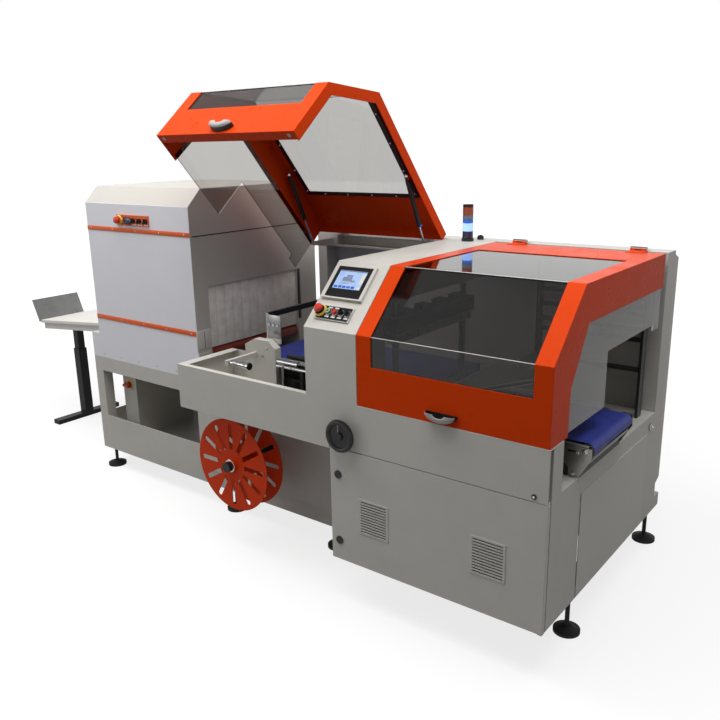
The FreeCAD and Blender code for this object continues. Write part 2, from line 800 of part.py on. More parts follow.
def bent_strip(near, far, foot, head, start, width):
    """Sheet that follows the hood from its foot over both bends, between two depths."""
    corners = ((near, foot), (near, "bend_height - 0.414 * (%s)" % near),
               ("slope_run + 0.414 * (%s)" % near, "hood_top - (%s)" % near), (head, "hood_top - (%s)" % near),
               (head, "hood_top - (%s)" % far), ("slope_run + 0.414 * (%s)" % far, "hood_top - (%s)" % far),
               (far, "bend_height - 0.414 * (%s)" % far), (far, foot))
    return outline("x", corners, start, width)


def side_pane(start):
    corners = (("band - pane_lap", "pane_foot"), ("cutout_front", "pane_foot"), ("cutout_front", "cutout_top"),
               ("cutout_rear", "cutout_top"), ("cutout_rear", "pane_rear_foot"),
               ("hood_depth - 12", "pane_rear_foot"), ("hood_depth - 12", "hood_top - band + pane_lap"),
               ("band_slope_end - pane_lap / 2", "hood_top - band + pane_lap"),
               ("band + 5 - pane_lap", "band_bend + pane_lap / 4"))
    return outline("x", corners, start, "pane")


def hood(name, right, wide_side, opened):
    """One guard: shell, glazing, handle, hinge leaves and struts; the open one is swung up."""
    left_edge = "(%s + hood_width)" % right
    wide_start = "(%s + sheet_steel)" % right if wide_side == "right" else left_edge
    narrow_start = left_edge if wide_side == "right" else "(%s + sheet_steel)" % right
    sheet_wide = band_plate(wide_start, "sheet_steel")
    inner_rim = (("flange", SILL), ("flange", "bend_height - 0.414 * flange"),
                 ("slope_run + 0.414 * flange", "hood_top - flange"), ("hood_depth", "hood_top - flange"))
    outer_rim = (("hood_depth", "hood_top"), ("slope_run", "hood_top"), ("0", "bend_height"), ("0", SILL))
    sheet_narrow = outline("x", inner_rim + outer_rim, narrow_start, "sheet_steel")
    cover = bent_strip("0", "sheet_steel", SILL, "hood_depth", left_edge, "hood_width")
    opening = bent_strip("-2", "2 * sheet_steel + 2", "window_low", "window_rear", left_edge + " - window_side",
                         "hood_width - 2 * window_side")
    lip = block(left_edge, "0", SILL, "hood_width", "hood_lip", "sheet_steel")
    tail = block(left_edge, "hood_depth - sheet_steel", "hood_top - hood_lip", "hood_width", "sheet_steel",
                 "hood_lip")
    ears = []
    for inset, away in (("strut_inset", "- strut_eye / 2 - seat"),
                        ("(hood_width - strut_inset)", "+ strut_eye / 2 + seat + bracket_sheet")):
        start = "(%s + %s %s)" % (right, inset, away)
        ears.append(block(start, "strut_top_back - 2 * strut_pin", "hood_top - strut_top_drop - 2 * strut_pin",
                          "bracket_sheet", "4 * strut_pin", "strut_top_drop + 2 * strut_pin - sheet_steel"))
        pin_start = "(%s + %s + strut_eye / 2 + seat)" % (right, inset)
        ears.append(rod("x", pin_start, "strut_top_back", "hood_top - strut_top_drop", "strut_pin",
                        "strut_eye + 2 * seat"))
    shell = fuse(cut(cover, opening), sheet_wide, sheet_narrow, lip, tail, *ears)
    pane_start = left_edge + " - window_side + pane_lap"
    pane_width = "hood_width - 2 * window_side + 2 * pane_lap"
    far = "(sheet_steel + pane)"
    front_pane = outline("x", (("sheet_steel", "window_low - pane_lap"),
                               ("sheet_steel", "bend_height - 0.414 * sheet_steel"),
                               ("slope_run + 0.414 * sheet_steel", "hood_top - sheet_steel"),
                               ("slope_run + 0.414 * %s" % far, "hood_top - %s" % far),
                               (far, "bend_height - 0.414 * %s" % far), (far, "window_low - pane_lap")),
                         pane_start, pane_width)
    top_pane = block(pane_start, "slope_run + 0.414 * %s + 1" % far, "hood_top - %s" % far, pane_width,
                     "window_rear + pane_lap - slope_run - 0.414 * %s - 1" % far, "pane")
    pane_at = "(%s + %s)" % (right, far) if wide_side == "right" else "(%s - sheet_steel)" % left_edge
    glazing = together(front_pane, top_pane, side_pane(pane_at))
    handle = cup_handle("(%s + hood_width / 2 + handle_shift)" % right)
    leaves = []
    for place_left in HINGE_PLACES:
        start = "(%s + %s + hinge_length / 2)" % (right, place_left)
        leaves.append(block(start, "hood_depth - hinge_leaf", "hood_top", "hinge_length",
                            "hinge_leaf + pivot_back - hood_depth - hinge_radius - 1", "sheet_steel"))
        for third in ("0", "2"):
            knuckle = rod("x", "%s - hinge_length / 3 * %s" % (start, third), "pivot_back", "pivot_height",
                          "hinge_radius", "hinge_length / 3 - running")
            bore = rod("x", "%s - hinge_length / 3 * %s + 1" % (start, third), "pivot_back", "pivot_height",
                       "hinge_pin + running / 2", "hinge_length / 3 + 2")
            web = block("%s - hinge_length / 3 * %s" % (start, third),
                        "pivot_back - hinge_radius - 1.5", "hood_top", "hinge_length / 3 - running",
                        "hinge_radius / 2 + 1", "pivot_height - hood_top")
            leaves.append(cut(fuse(knuckle, web), bore))
    pieces = ((name, fuse(shell, *leaves)), (name + "_glazing", glazing), (name + "_handle", handle))
    for label, piece in pieces:
        if opened:
            piece = turned(piece, "x", "-open_angle", back("pivot_back"), "pivot_height")
        node(label, piece)
    struts(name, right, opened)


HINGE_PLACES = ("hinge_side", "(hood_width - hinge_side)")


def fixed_hinges():
    """Leaves with their middle knuckles and pins, on the rear beam."""
    pieces = []
    for right in (HOOD_RIGHT, SEAL_HOOD_RIGHT):
        for place_left in HINGE_PLACES:
            start = "(%s + %s + hinge_length / 2)" % (right, place_left)
            middle = "(%s - hinge_length / 3)" % start
            leaf = block(start, "pivot_back + hinge_radius + 1", "hood_top", "hinge_length", "hinge_leaf",
                         "sheet_steel")
            knuckle = rod("x", middle, "pivot_back", "pivot_height", "hinge_radius",
                          "hinge_length / 3 - running")
            web = block(middle, "pivot_back + hinge_radius / 2", "hood_top",
                        "hinge_length / 3 - running", "hinge_radius / 2 + 2", "pivot_height - hood_top")
            pin = rod("x", start + " + 2", "pivot_back", "pivot_height", "hinge_pin", "hinge_length + 4")
            pieces.append(fuse(leaf, knuckle, web, pin))
    return pieces


def cup_handle(middle):
    """Half-moon cup pull, open at the top."""
    radius = "((handle_width / 2) ^ 2 + handle_height ^ 2) / (2 * handle_height)"
    centre = "handle_level - handle_height / 2 + %s" % radius
    disc = rod("y", middle, "-handle_reach", centre, radius, "handle_reach")
    keep = block(middle + " + handle_width / 2", "-handle_reach", "handle_level - handle_height / 2",
                 "handle_width", "handle_reach", "handle_height")
    half_moon = doc.addObject("Part::Common", "HalfMoon")
    half_moon.Base = disc
    half_moon.Tool = keep
    hollow = rod("y", middle, "-handle_reach + sheet_steel", centre, radius + " - sheet_steel",
                 "handle_reach + 1")
    return cut(half_moon, hollow)


def strut_pair(right, build):
    pieces = [build("(%s + strut_inset)" % right), build("(%s + hood_width - strut_inset)" % right)]
    return together(*pieces)


def struts(name, right, opened):
    """Gas struts, both sides of a hood as one pair: tubes on the hood, rods towards the frame."""
    top_y = "strut_top_back"
    top_z = "(hood_top - strut_top_drop)"
    if opened:
        reach = "(strut_top_back - pivot_back)"
        rise = "(hood_top - strut_top_drop - pivot_height)"
        top_y = "(pivot_back + %s * cos(open_angle) + %s * sin(open_angle))" % (reach, rise)
        top_z = "(pivot_height - %s * sin(open_angle) + %s * cos(open_angle))" % (reach, rise)
    run = "(strut_foot_back - %s)" % top_y
    drop = "(strut_foot_height - %s)" % top_z
    length = "sqrt(%s * %s + %s * %s)" % (run, run, drop, drop)
    angle = "atan2(%s; %s)" % (drop, run)

    def body(middle):
        eye = rod("x", "(%s + strut_eye / 2)" % middle, top_y, top_z, "strut_pin + 5", "strut_eye")
        tube = rod("y", middle, top_y + " + 4", top_z, "strut_body_radius", "strut_body_length - 4")
        hole = rod("x", "(%s + strut_eye)" % middle, top_y, top_z, "strut_pin + running / 2", "2 * strut_eye")
        bore = rod("y", middle, top_y + " + 20", top_z, "strut_rod_radius + running / 2", "strut_body_length")
        flat = block("(%s + strut_eye / 2)" % middle, top_y, top_z + " - strut_pin - 4", "strut_eye",
                     "strut_flat", "2 * strut_pin + 8")
        gap_for_ear = block("(%s + 40)" % middle, top_y + " - 20", top_z + " - 20", "80", "strut_flat + 18", "40")
        trimmed = cut(tube, gap_for_ear)
        return cut(fuse(eye, flat, trimmed), hole, bore)

    def plunger(middle):
        start = "(%s + %s - strut_rod_length)" % (top_y, length)
        stem = rod("y", middle, start, top_z, "strut_rod_radius", "strut_rod_length - 8")
        eye = rod("x", "(%s + strut_eye / 2)" % middle, "(%s + %s)" % (top_y, length), top_z,
                  "strut_pin + 5", "strut_eye")
        hole = rod("x", "(%s + strut_eye)" % middle, "(%s + %s)" % (top_y, length), top_z, "strut_pin",
                   "2 * strut_eye")
        return cut(fuse(stem, eye), hole)

    tubes = turned(strut_pair(right, body), "x", angle, back(top_y), top_z)
    rods = turned(strut_pair(right, plunger), "x", angle, back(top_y), top_z)
    node(name + "_strut_tubes", tubes)
    node(name + "_strut_rods", rods)


# Handwheel on the apron

def handwheel():
    start = "-wheel_reach"
    rim = doc.addObject("Part::Torus", "Rim")
    rim.setExpression("Radius1", link("wheel_radius - wheel_rim"))
    rim.setExpression("Radius2", link("wheel_rim"))
    rim.Placement = FreeCAD.Placement(V(), TURNS["y"])
    place(rim, left("wheel_from_end"), back(start + " + wheel_rim"), "wheel_level")
    dish = rod("y", "wheel_from_end", start + " + wheel_rim - 3", "wheel_level", "wheel_radius - wheel_rim",
               "6")
    hub = rod("y", "wheel_from_end", start + " + 2", "wheel_level", "wheel_hub", "wheel_reach - 2 - wheel_boss - seat")
    cap = cone("y", "wheel_from_end", start + " - 2", "wheel_level", "wheel_hub - 5", "wheel_hub", "4")
    return node("handwheel", fuse(rim, dish, hub, cap))


# Scrap film reel: two slotted discs on a core, running on a fixed axle

def reel_disc(front):
    """Disc with one radial slot, repeated round the axis."""
    body = doc.addObject("PartDesign::Body", "ReelDisc")
    planes = {}
    for feature in body.Origin.OriginFeatures:
        planes[feature.Role] = feature
    plate = body.newObject("Sketcher::SketchObject", "DiscOutline")
    plate.AttachmentSupport = (planes["XZ_Plane"], [""])
    plate.MapMode = "FlatFace"
    for radius in ("reel_radius", "(axle_radius + running / 2)"):
        circle = plate.addGeometry(Part.Circle(V(), V(0, 0, 1), number(radius)), False)
        plate.addConstraint(Sketcher.Constraint("Coincident", circle, 3, -1, 1))
        index = plate.addConstraint(Sketcher.Constraint("Radius", circle, number(radius)))
        plate.setExpression("Constraints[%d]" % index, link(radius))
    pad = body.newObject("PartDesign::Pad", "Disc")
    pad.Profile = plate
    pad.Midplane = True
    pad.setExpression("Length", link("reel_disc"))
    slot = body.newObject("Sketcher::SketchObject", "SlotOutline")
    slot.AttachmentSupport = (planes["XZ_Plane"], [""])
    slot.MapMode = "FlatFace"
    half = number("reel_slot_width / 2")
    inner = number("reel_slot_inner")
    outer = number("reel_slot_outer - reel_slot_width / 2")
    slot.addGeometry(Part.LineSegment(V(-half, inner, 0), V(-half, outer, 0)), False)
    slot.addGeometry(Part.ArcOfCircle(Part.Circle(V(0, outer, 0), V(0, 0, 1), half), 0, 3.141592653589793), False)
    slot.addGeometry(Part.LineSegment(V(half, outer, 0), V(half, inner, 0)), False)
    slot.addGeometry(Part.LineSegment(V(half, inner, 0), V(-half, inner, 0)), False)
    slot.addConstraint(Sketcher.Constraint("Tangent", 0, 2, 1, 2))
    slot.addConstraint(Sketcher.Constraint("Tangent", 1, 1, 2, 1))
    slot.addConstraint(Sketcher.Constraint("Coincident", 2, 2, 3, 1))
    slot.addConstraint(Sketcher.Constraint("Coincident", 3, 2, 0, 1))
    slot.addConstraint(Sketcher.Constraint("Vertical", 0))
    slot.addConstraint(Sketcher.Constraint("Vertical", 2))
    slot.addConstraint(Sketcher.Constraint("Horizontal", 3))
    slot.addConstraint(Sketcher.Constraint("PointOnObject", 1, 3, -2))
    index = slot.addConstraint(Sketcher.Constraint("Radius", 1, half))
    slot.setExpression("Constraints[%d]" % index, link("reel_slot_width / 2"))
    index = slot.addConstraint(Sketcher.Constraint("DistanceY", -1, 1, 1, 3, outer))
    slot.setExpression("Constraints[%d]" % index, link("reel_slot_outer - reel_slot_width / 2"))
    index = slot.addConstraint(Sketcher.Constraint("DistanceY", -1, 1, 0, 1, inner))
    slot.setExpression("Constraints[%d]" % index, link("reel_slot_inner"))
    pocket = body.newObject("PartDesign::Pocket", "Slot")
    pocket.Profile = slot
    pocket.Type = 1
    pocket.Midplane = True
    pattern = body.newObject("PartDesign::PolarPattern", "Slots")
    pattern.Originals = [pocket]
    pattern.Axis = (planes["Y_Axis"], [""])
    pattern.Angle = 360
    pattern.setExpression("Occurrences", link("reel_slots"))
    body.Tip = pattern
    place(body, left("reel_from_end"), back(front), "reel_level")
    return body


def scrap_reel():
    front = "(reel_front + reel_disc / 2)"
    rear = "(reel_front + reel_spacing + reel_disc / 2)"
    core = cut(rod("y", "reel_from_end", front, "reel_level", "reel_core", "reel_spacing"),
               rod("y", "reel_from_end", front + " - 1", "reel_level", "axle_radius + running / 2",
                   "reel_spacing + 2"))
    hub = cut(rod("y", "reel_from_end", "(reel_front - 14)", "reel_level", "reel_core / 2 + 8", "14 + reel_disc / 2"),
              rod("y", "reel_from_end", "(reel_front - 15)", "reel_level", "axle_radius + running / 2", "20"))
    return node("scrap_reel", fuse(reel_disc(front), reel_disc(rear), core, hub))


def reel_axle():
    """Axle with its wall flange, and the knob that keeps the reel on."""
    axle = rod("y", "reel_from_end", "(reel_front - 30)", "reel_level", "axle_radius",
               "base_setback - sheet_steel - reel_front + 30")
    flange = rod("y", "reel_from_end", "base_setback - sheet_steel - 12", "reel_level", "reel_core", "12")
    collar = rod("y", "reel_from_end", "(reel_front + reel_spacing + reel_disc + seat + 4)", "reel_level",
                 "axle_radius + 8", "20")
    knob = rod("y", "reel_from_end", "(reel_front - 40)", "reel_level", "2 * axle_radius", "40 - 14 - seat")
    return node("reel_axle", fuse(axle, flange, collar, knob))


# Belt conveyors: end rollers, a closed belt loop and side plates

def belt_loop(start, front, length, width, level):
    """Flat belt round two end rollers, with its axis along Y."""
    outer = "(belt_radius + belt_thickness)"
    centre = "(%s - %s)" % (level, outer)
    loops = []
    for radius in (outer, "(belt_radius + running / 2)"):
        ends = []
        for axis_at in ("(%s - %s)" % (start, outer), "(%s - %s + %s)" % (start, length, outer)):
            ends.append(rod("y", axis_at, front, centre, radius, width))
        middle = block("(%s - %s)" % (start, outer), front, "%s - %s" % (centre, radius),
                       "%s - 2 * %s" % (length, outer), width, "2 * %s" % radius)
        loops.append(fuse(middle, *ends))
    return cut(loops[0], loops[1])


def end_roller(axis_at, front, width, level, overhang):
    """Roller with a shaft that reaches past both belt edges."""
    centre = "(%s - belt_radius - belt_thickness)" % level
    drum = rod("y", axis_at, front, centre, "belt_radius", width)
    shaft = rod("y", axis_at, "(%s - %s)" % (front, overhang), centre, "belt_shaft",
                "%s + 2 * %s" % (width, overhang))
    return fuse(drum, shaft)


TAIL_ROLLERS = []


def conveyor(prefix, start, front, length, width, level):
    """Belt with its turning drive roller; the three tail rollers are gathered."""
    node(prefix + "_belt", belt_loop(start, front, length, width, level))
    outer = "(belt_radius + belt_thickness)"
    places = ("(%s - %s)" % (start, outer), "(%s - (%s) + %s)" % (start, length, outer))
    TAIL_ROLLERS.append(end_roller(places[0], front, width, level, "belt_overhang"))
    node(prefix + "_drive_roller", end_roller(places[1], front, width, level, "belt_overhang"))
    return places


def shaft_holes(places, front, width, level):
    centre = "(%s - belt_radius - belt_thickness)" % level
    holes = []
    for axis_at in places:
        holes.append(rod("y", axis_at, "(%s - 60)" % front, centre, "belt_shaft + running / 2",
                         "%s + 120" % width))
    return holes


def infeed_conveyor():
    start = "infeed_start"
    length = "(infeed_start + infeed_overhang)"
    places = conveyor("infeed", start, "belt_front", length, "belt_width", "belt_level")
    top = "(belt_level - belt_thickness - 2)"
    plates = []
    for front in ("(belt_front - belt_side - bed_plate)", "(belt_front + belt_width + belt_side)"):
        corners = ((start, top), ("-infeed_overhang + 4", top), ("-infeed_overhang + 2", "%s - 44" % top),
                   ("2", "ledge_height"), ("tube", "ledge_height"), ("tube", "%s - bed_height" % top),
                   ("tube + 40", "bed_seat"), (start, "bed_seat"))
        plates.append(outline("y", corners, front, "bed_plate"))
    ties = []
    for place_left in ("tube + 60", "infeed_start - 100"):
        ties.append(block(place_left, "(belt_front - belt_side)", "bed_seat", "40",
                          "belt_width + 2 * belt_side", "20"))
    end_plate = outline("x", (("belt_front - belt_side", "ledge_height"),
                              ("belt_front - belt_side", "ledge_height + 70"),
                              ("belt_front + belt_width + belt_side", "ledge_height + 26"),
                              ("belt_front + belt_width + belt_side", "ledge_height")), "4", "6")
    bed = cut(fuse(*plates, *ties, end_plate), *shaft_holes(places, "belt_front", "belt_width", "belt_level"))
    return node("infeed_bed", bed)


def seal_conveyor():
    start = "(%s - 8)" % SEALER_LEFT
    length = "(%s - 8 - %s)" % (SEALER_LEFT, "(jaw_from_end + 20)")
    places = conveyor("seal", start, "seal_front", length, "seal_width", "belt_level")
    top = "(belt_level - belt_thickness - 2)"
    plates = []
    for front in ("(seal_front - belt_side - bed_plate)", "(seal_front + seal_width + belt_side)"):
        corners = ((start, top), ("%s - %s" % (start, length), top), ("%s - %s" % (start, length), "bed_seat"),
                   (start, "bed_seat"))
        plates.append(outline("y", corners, front, "bed_plate"))
    tie = block("%s - 200" % start, "(seal_front - belt_side)", "bed_seat", "40",
                "seal_width + 2 * belt_side", "20")
    bed = cut(fuse(*plates, tie), *shaft_holes(places, "seal_front", "seal_width", "belt_level"))
    return node("seal_bed", bed)


def tunnel_conveyor():
    start = "(base_length - 4)"
    length = "(base_length - tunnel_right)"
    front = "(passage_front + belt_side)"
    width = "(passage_rear - passage_front - 2 * belt_side)"
    places = conveyor("tunnel", start, front, length, width, "tunnel_belt_level")
    wall = "(passage_front - base_setback)"
    height = "(tunnel_floor - seam_base)"
    length_all = "(base_length - tunnel_right + 5)"
    front_wall = block("base_length", "base_setback", "seam_base", length_all, wall, height)
    rear_wall = block("base_length", "passage_rear", "seam_base", length_all, "tunnel_rear - passage_rear", height)
    floor = block("base_length", "passage_front", "seam_base", length_all, "passage_rear - passage_front",
                  "sheet_steel")
    hollows = []
    for wall_front, depth in (("base_setback", wall), ("passage_rear", "(tunnel_rear - passage_rear)")):
        hollows.append(block("base_length - sheet_steel", "(%s + sheet_steel)" % wall_front,
                             "seam_base + sheet_steel", "%s - 2 * sheet_steel" % length_all,
                             "%s - 2 * sheet_steel" % depth, height + " - 2 * sheet_steel"))
    holes = shaft_holes(places, front, width, "tunnel_belt_level")
    return cut(fuse(front_wall, rear_wall, floor), *hollows, *holes)


# Seal jaws: fixed lower jaw with guide columns, upper jaw that comes down on it

GUIDE_PLACES = ("(jaw_front + guide_inset)", "(jaw_front + jaw_length - guide_inset)")


def lower_seal_jaw():
    top = "(belt_level + 6)"
    beam = block("jaw_from_end", "jaw_front", "%s - jaw_height" % top, "jaw_width", "jaw_length", "jaw_height")
    pieces = [beam]
    for front in GUIDE_PLACES:
        middle = "(jaw_from_end - jaw_width / 2)"
        pieces.append(rod("z", middle, front, "bed_seat", "guide_rod_radius",
                          "jaw_level + jaw_height + 90 - bed_seat"))
        pieces.append(block("(%s + 40)" % middle, "(%s - 25)" % front, "bed_seat", "80", "50", "20"))
    reach = "(jaw_from_end - jaw_width - %s)" % COLUMN_RIGHT
    for front in GUIDE_PLACES:
        pieces.append(block(COLUMN_RIGHT + " + 2", "(%s - 25)" % front, "bed_seat", COLUMN_RIGHT + " + 2 - jaw_from_end + 30",
                            "50", "12"))
    return node("lower_seal_jaw", fuse(*pieces))


def upper_seal_jaw():
    beam = block("jaw_from_end", "jaw_front", "jaw_level + 34", "jaw_width", "jaw_length", "jaw_height")
    blade = block("(jaw_from_end - 12)", "jaw_front + 14", "jaw_level", "jaw_width - 24", "jaw_length - 28", "34")
    fins = []
    count = 9
    for k in range(count):
        fins.append(block("(jaw_from_end - 4)", "jaw_front + 20 + (jaw_length - 50) / %d * %d" % (count - 1, k),
                          "jaw_level + 4", "jaw_width - 8", "10", "30"))
    blocks = []
    bores = []
    for k in range(4):
        blocks.append(block("(jaw_from_end - 14)", "jaw_front + 70 + 130 * %d" % k, "jaw_level + 34 + jaw_height",
                            "jaw_width - 28", "60", "22"))
    for front in GUIDE_PLACES:
        bores.append(rod("z", "(jaw_from_end - jaw_width / 2)", front, "jaw_level - 2",
                         "guide_rod_radius + running / 2", "jaw_height + 90"))
    return node("upper_seal_jaw", cut(fuse(beam, blade, *fins, *blocks), *bores))


# Film path: guide rods between two posts, and the folding plate over the infeed belt

def film_posts():
    right_post = outline("x", (("film_rod_back - 25", "ledge_height"), ("film_rod_back + 25", "ledge_height"),
                               ("film_rod_back + 25", "film_top"), ("film_rod_back - 25", "film_top")),
                         "(tube - 10)", "film_plate")
    left_post = outline("x", (("film_rod_back - 25", "belt_level + 20"), ("film_rod_back + 25", "belt_level + 20"),
                              ("film_rod_back + 25", "film_top - 20"), (REAR_POST, "film_top"),
                              (REAR_POST, "film_top + 30"), ("film_rod_back - 25", "film_top + 30")),
                        "film_left", "film_plate")
    return right_post, left_post


FILM_LEVELS = ("894", "1024", "1069", "1135", "1201")


def film_rods():
    rods = []
    for level in FILM_LEVELS:
        rods.append(rod("x", "(film_left - film_plate)", "film_rod_back", level, "film_rod_radius",
                        "film_left - film_plate - tube + 10"))
    return node("film_guides", fuse(*rods, *film_posts()))


def folding_plates():
    """Triangular film folding plates, one above the other, hung from the rear posts."""
    pieces = []
    for level in ("(belt_level + 34)", "(belt_level + 52)"):
        corners = (("fold_left", "belt_front + 20"), ("fold_left - 30", "belt_front + 20"),
                   ("fold_right", "film_rod_back - 200"), ("fold_right", "film_rod_back - 170"),
                   ("fold_left", "film_rod_back - 170"))
        pieces.append(outline("z", corners, level, "sheet_steel"))
    arm = block("film_left", "film_rod_back - 200", "belt_level + 34 + sheet_steel", "film_plate", "175", "60")
    return node("folding_plates", fuse(arm, *pieces))


# Trim guides and rollers over the trough

def trim_guide():
    base = "(trough_floor + sheet_steel)"
    front = "(trough_depth - sheet_steel - guide_depth)"
    corners = (("guide_left", base), ("guide_left", "guide_top - 32"), ("guide_left - 60", "guide_top"),
               ("guide_left - 150", "guide_top"), ("guide_left - guide_width", "guide_top - 32"),
               ("guide_left - guide_width", base))
    housing = outline("y", corners, front, "guide_depth")
    arm = block("(guide_left - 60)", "(%s - 190)" % front, "trim_level - 12", "16", "190", "24")
    return node("trim_guide", fuse(housing, arm, hand_guard()))


def trim_rollers():
    """Short roller beside the guide, turning on its arm."""
    middle = "(trough_depth - sheet_steel - guide_depth - 170)"
    drum = rod("x", "(guide_left - 76 - seat)", middle, "trim_level", "trim_radius", "trim_length")
    cap = rod("x", "(guide_left - 76 - seat - trim_length)", middle, "trim_level", "trim_radius + 5", "10")
    return node("trim_roller", fuse(drum, cap))


def hand_guard():
    """Bright end plate and black bar along the back of the sealing belt."""
    plate = outline("y", (("guard_left", "belt_level + 130"), ("guard_left", "belt_level + 262"),
                          ("guard_left - 92", "belt_level + 226"), ("guard_left - 92", "belt_level + 130")),
                    "trough_depth + 6", "sheet_steel")
    foot = block("guard_left", "trough_depth", "belt_level + 120", "92", "9", "20")
    post = block("guard_left", "trough_depth", "trough_floor", "40", "6", "belt_level + 130 - trough_floor")
    bar = block("guard_left", "trough_depth + 9", "belt_level + 236", "14", "guard_length", "26")
    return fuse(plate, foot, post, bar)


# Shrink tunnel: double-walled hood with a passage, curtain, stripes and controls

def tunnel_profile(inset, start, width):
    corners = (("base_setback + (%s)" % inset, "tunnel_floor + (%s)" % inset),
               ("base_setback + (%s)" % inset, "tunnel_front_top - 0.414 * (%s)" % inset),
               ("base_setback + tunnel_chamfer + 0.414 * (%s)" % inset, "tunnel_top - (%s)" % inset),
               ("tunnel_rear - tunnel_chamfer - 0.414 * (%s)" % inset, "tunnel_top - (%s)" % inset),
               ("tunnel_rear - (%s)" % inset, "tunnel_front_top - 0.414 * (%s)" % inset),
               ("tunnel_rear - (%s)" % inset, "tunnel_floor + (%s)" % inset))
    return outline("x", corners, start, width)


def tunnel_body():
    length = "(tunnel_left - tunnel_right)"
    outer = tunnel_profile("0", "tunnel_left", length)
    passage = block("tunnel_left + 1", "passage_front", "tunnel_floor - 1", length + " + 2",
                    "passage_rear - passage_front", "passage_top - tunnel_floor + 1")
    liner = block("tunnel_left", "passage_front - sheet_steel", "tunnel_floor - 2", length,
                  "passage_rear - passage_front + 2 * sheet_steel", "passage_top - tunnel_floor + sheet_steel + 2")
    void = cut(tunnel_profile("sheet_steel", "tunnel_left - sheet_steel", length + " - 2 * sheet_steel"), liner)
    seams = []
    for start in ("tunnel_left + 1", "tunnel_right + 1.5"):
        seams.append(block(start, "base_setback - 1", "tunnel_seam", "2.5", "tunnel_rear - base_setback + 2",
                           "seam_depth"))
    return node("tunnel_body", fuse(tunnel_conveyor(), cut(outer, passage, void, *seams)))


TUNNEL_PLATE = "(base_setback - plate_sheet)"
TUNNEL_STOP = "(tunnel_plate_left - 24)"
KNOB_PLACES = ("(tunnel_plate_left - knob_first)", "(tunnel_plate_left - knob_first - knob_pitch)",
               "(tunnel_plate_left - knob_first - 2 * knob_pitch)")


def tunnel_controls():
    plate = block("tunnel_plate_left", TUNNEL_PLATE, "tunnel_controls - 28", "tunnel_plate_width", "plate_sheet", "56")
    display = block("tunnel_plate_left - 70", TUNNEL_PLATE + " - 8", "tunnel_controls - 17", "52", "8", "34")
    collar = rod("y", TUNNEL_STOP, TUNNEL_PLATE + " - stop_collar", "tunnel_controls", "stop_radius + 3",
                 "stop_collar")
    bore = rod("y", TUNNEL_STOP, TUNNEL_PLATE + " - stop_collar - 1", "tunnel_controls",
               "stop_stem + running / 2", "stop_collar + 1")
    node("tunnel_plate", cut(fuse(plate, display, collar), bore))
    for name, middle in zip(("knob_left", "knob_middle", "knob_right"), KNOB_PLACES):
        dial = rod("y", middle, TUNNEL_PLATE + " - knob_depth - seat", "tunnel_controls", "knob_radius",
                   "knob_depth")
        rib = block(middle + " + 3", TUNNEL_PLATE + " - knob_depth - 8", "tunnel_controls - knob_radius", "6", "9",
                    "2 * knob_radius")
        node("tunnel_" + name, fuse(dial, rib))


def entry_curtain():
    width = "passage_rear - passage_front - 2 * seat"
    hem = "(passage_top - seat - curtain_sheet / 2)"
    sheet_curtain = block("tunnel_right + 12", "passage_front + seat", "tunnel_belt_level + 8", "curtain_sheet",
                          width, "%s - tunnel_belt_level - 8" % hem)
    bead = rod("y", "tunnel_right + 12 - curtain_sheet / 2", "passage_front + seat", hem, "curtain_sheet / 2",
               width)
    return node("entry_curtain", fuse(sheet_curtain, bead))


def electrical_box():
    height = "(seam_base - rail_bottom - tube - 20 - sheet_steel - 100)"
    base = "(rail_bottom + tube + 20 + sheet_steel)"
    shell = block("box_left", "box_front", base, "box_width", "box_depth", height)
    hollow = block("box_left - sheet_steel", "box_front + sheet_steel", base + " + sheet_steel",
                   "box_width - 2 * sheet_steel", "box_depth - 2 * sheet_steel", height + " - 2 * sheet_steel")
    return node("electrical_box", cut(shell, hollow))


def main_switch():
    middle = "(box_left - box_width / 2)"
    dial = rod("y", middle, "box_front - 20", "switch_level", "20", "20 - seat")
    grip = block(middle + " + 24", "box_front - 34", "switch_level - 7", "48", "16", "14")
    node("main_switch", fuse(dial, grip))


# Outfeed table on two telescopic legs, tilted towards its stop plate

TABLE_START = "(base_length + table_gap + table_length)"
TABLE_TOP = "table_end_level"
LEG_PLACES = ("(%s - leg_inset)" % TABLE_START, "(%s - table_length + leg_inset)" % TABLE_START)
LEG_MIDDLE = "(table_front + table_width / 2)"


def tilted(piece):
    return turned(piece, "y", "-table_tilt", TABLE_TOP, left(TABLE_START))


def table_top():
    board = block(TABLE_START, "table_front", TABLE_TOP + " - table_board", "table_length", "table_width",
                  "table_board")
    apron_base = "(%s - table_board - table_apron)" % TABLE_TOP
    rim = block(TABLE_START + " - 20", "table_front + 12", apron_base, "table_length - 40", "table_width - 24",
                "table_apron")
    hollow = block(TABLE_START + " - 45", "table_front + 37", apron_base + " - 1", "table_length - 90",
                   "table_width - 74", "table_apron + 1")
    bearers = []
    for place_left in LEG_PLACES:
        bearers.append(block(place_left + " + 40", "table_front + 20", apron_base, "80", "table_width - 40",
                             "table_apron"))
    node("table_top", tilted(fuse(board, cut(rim, hollow), *bearers)))


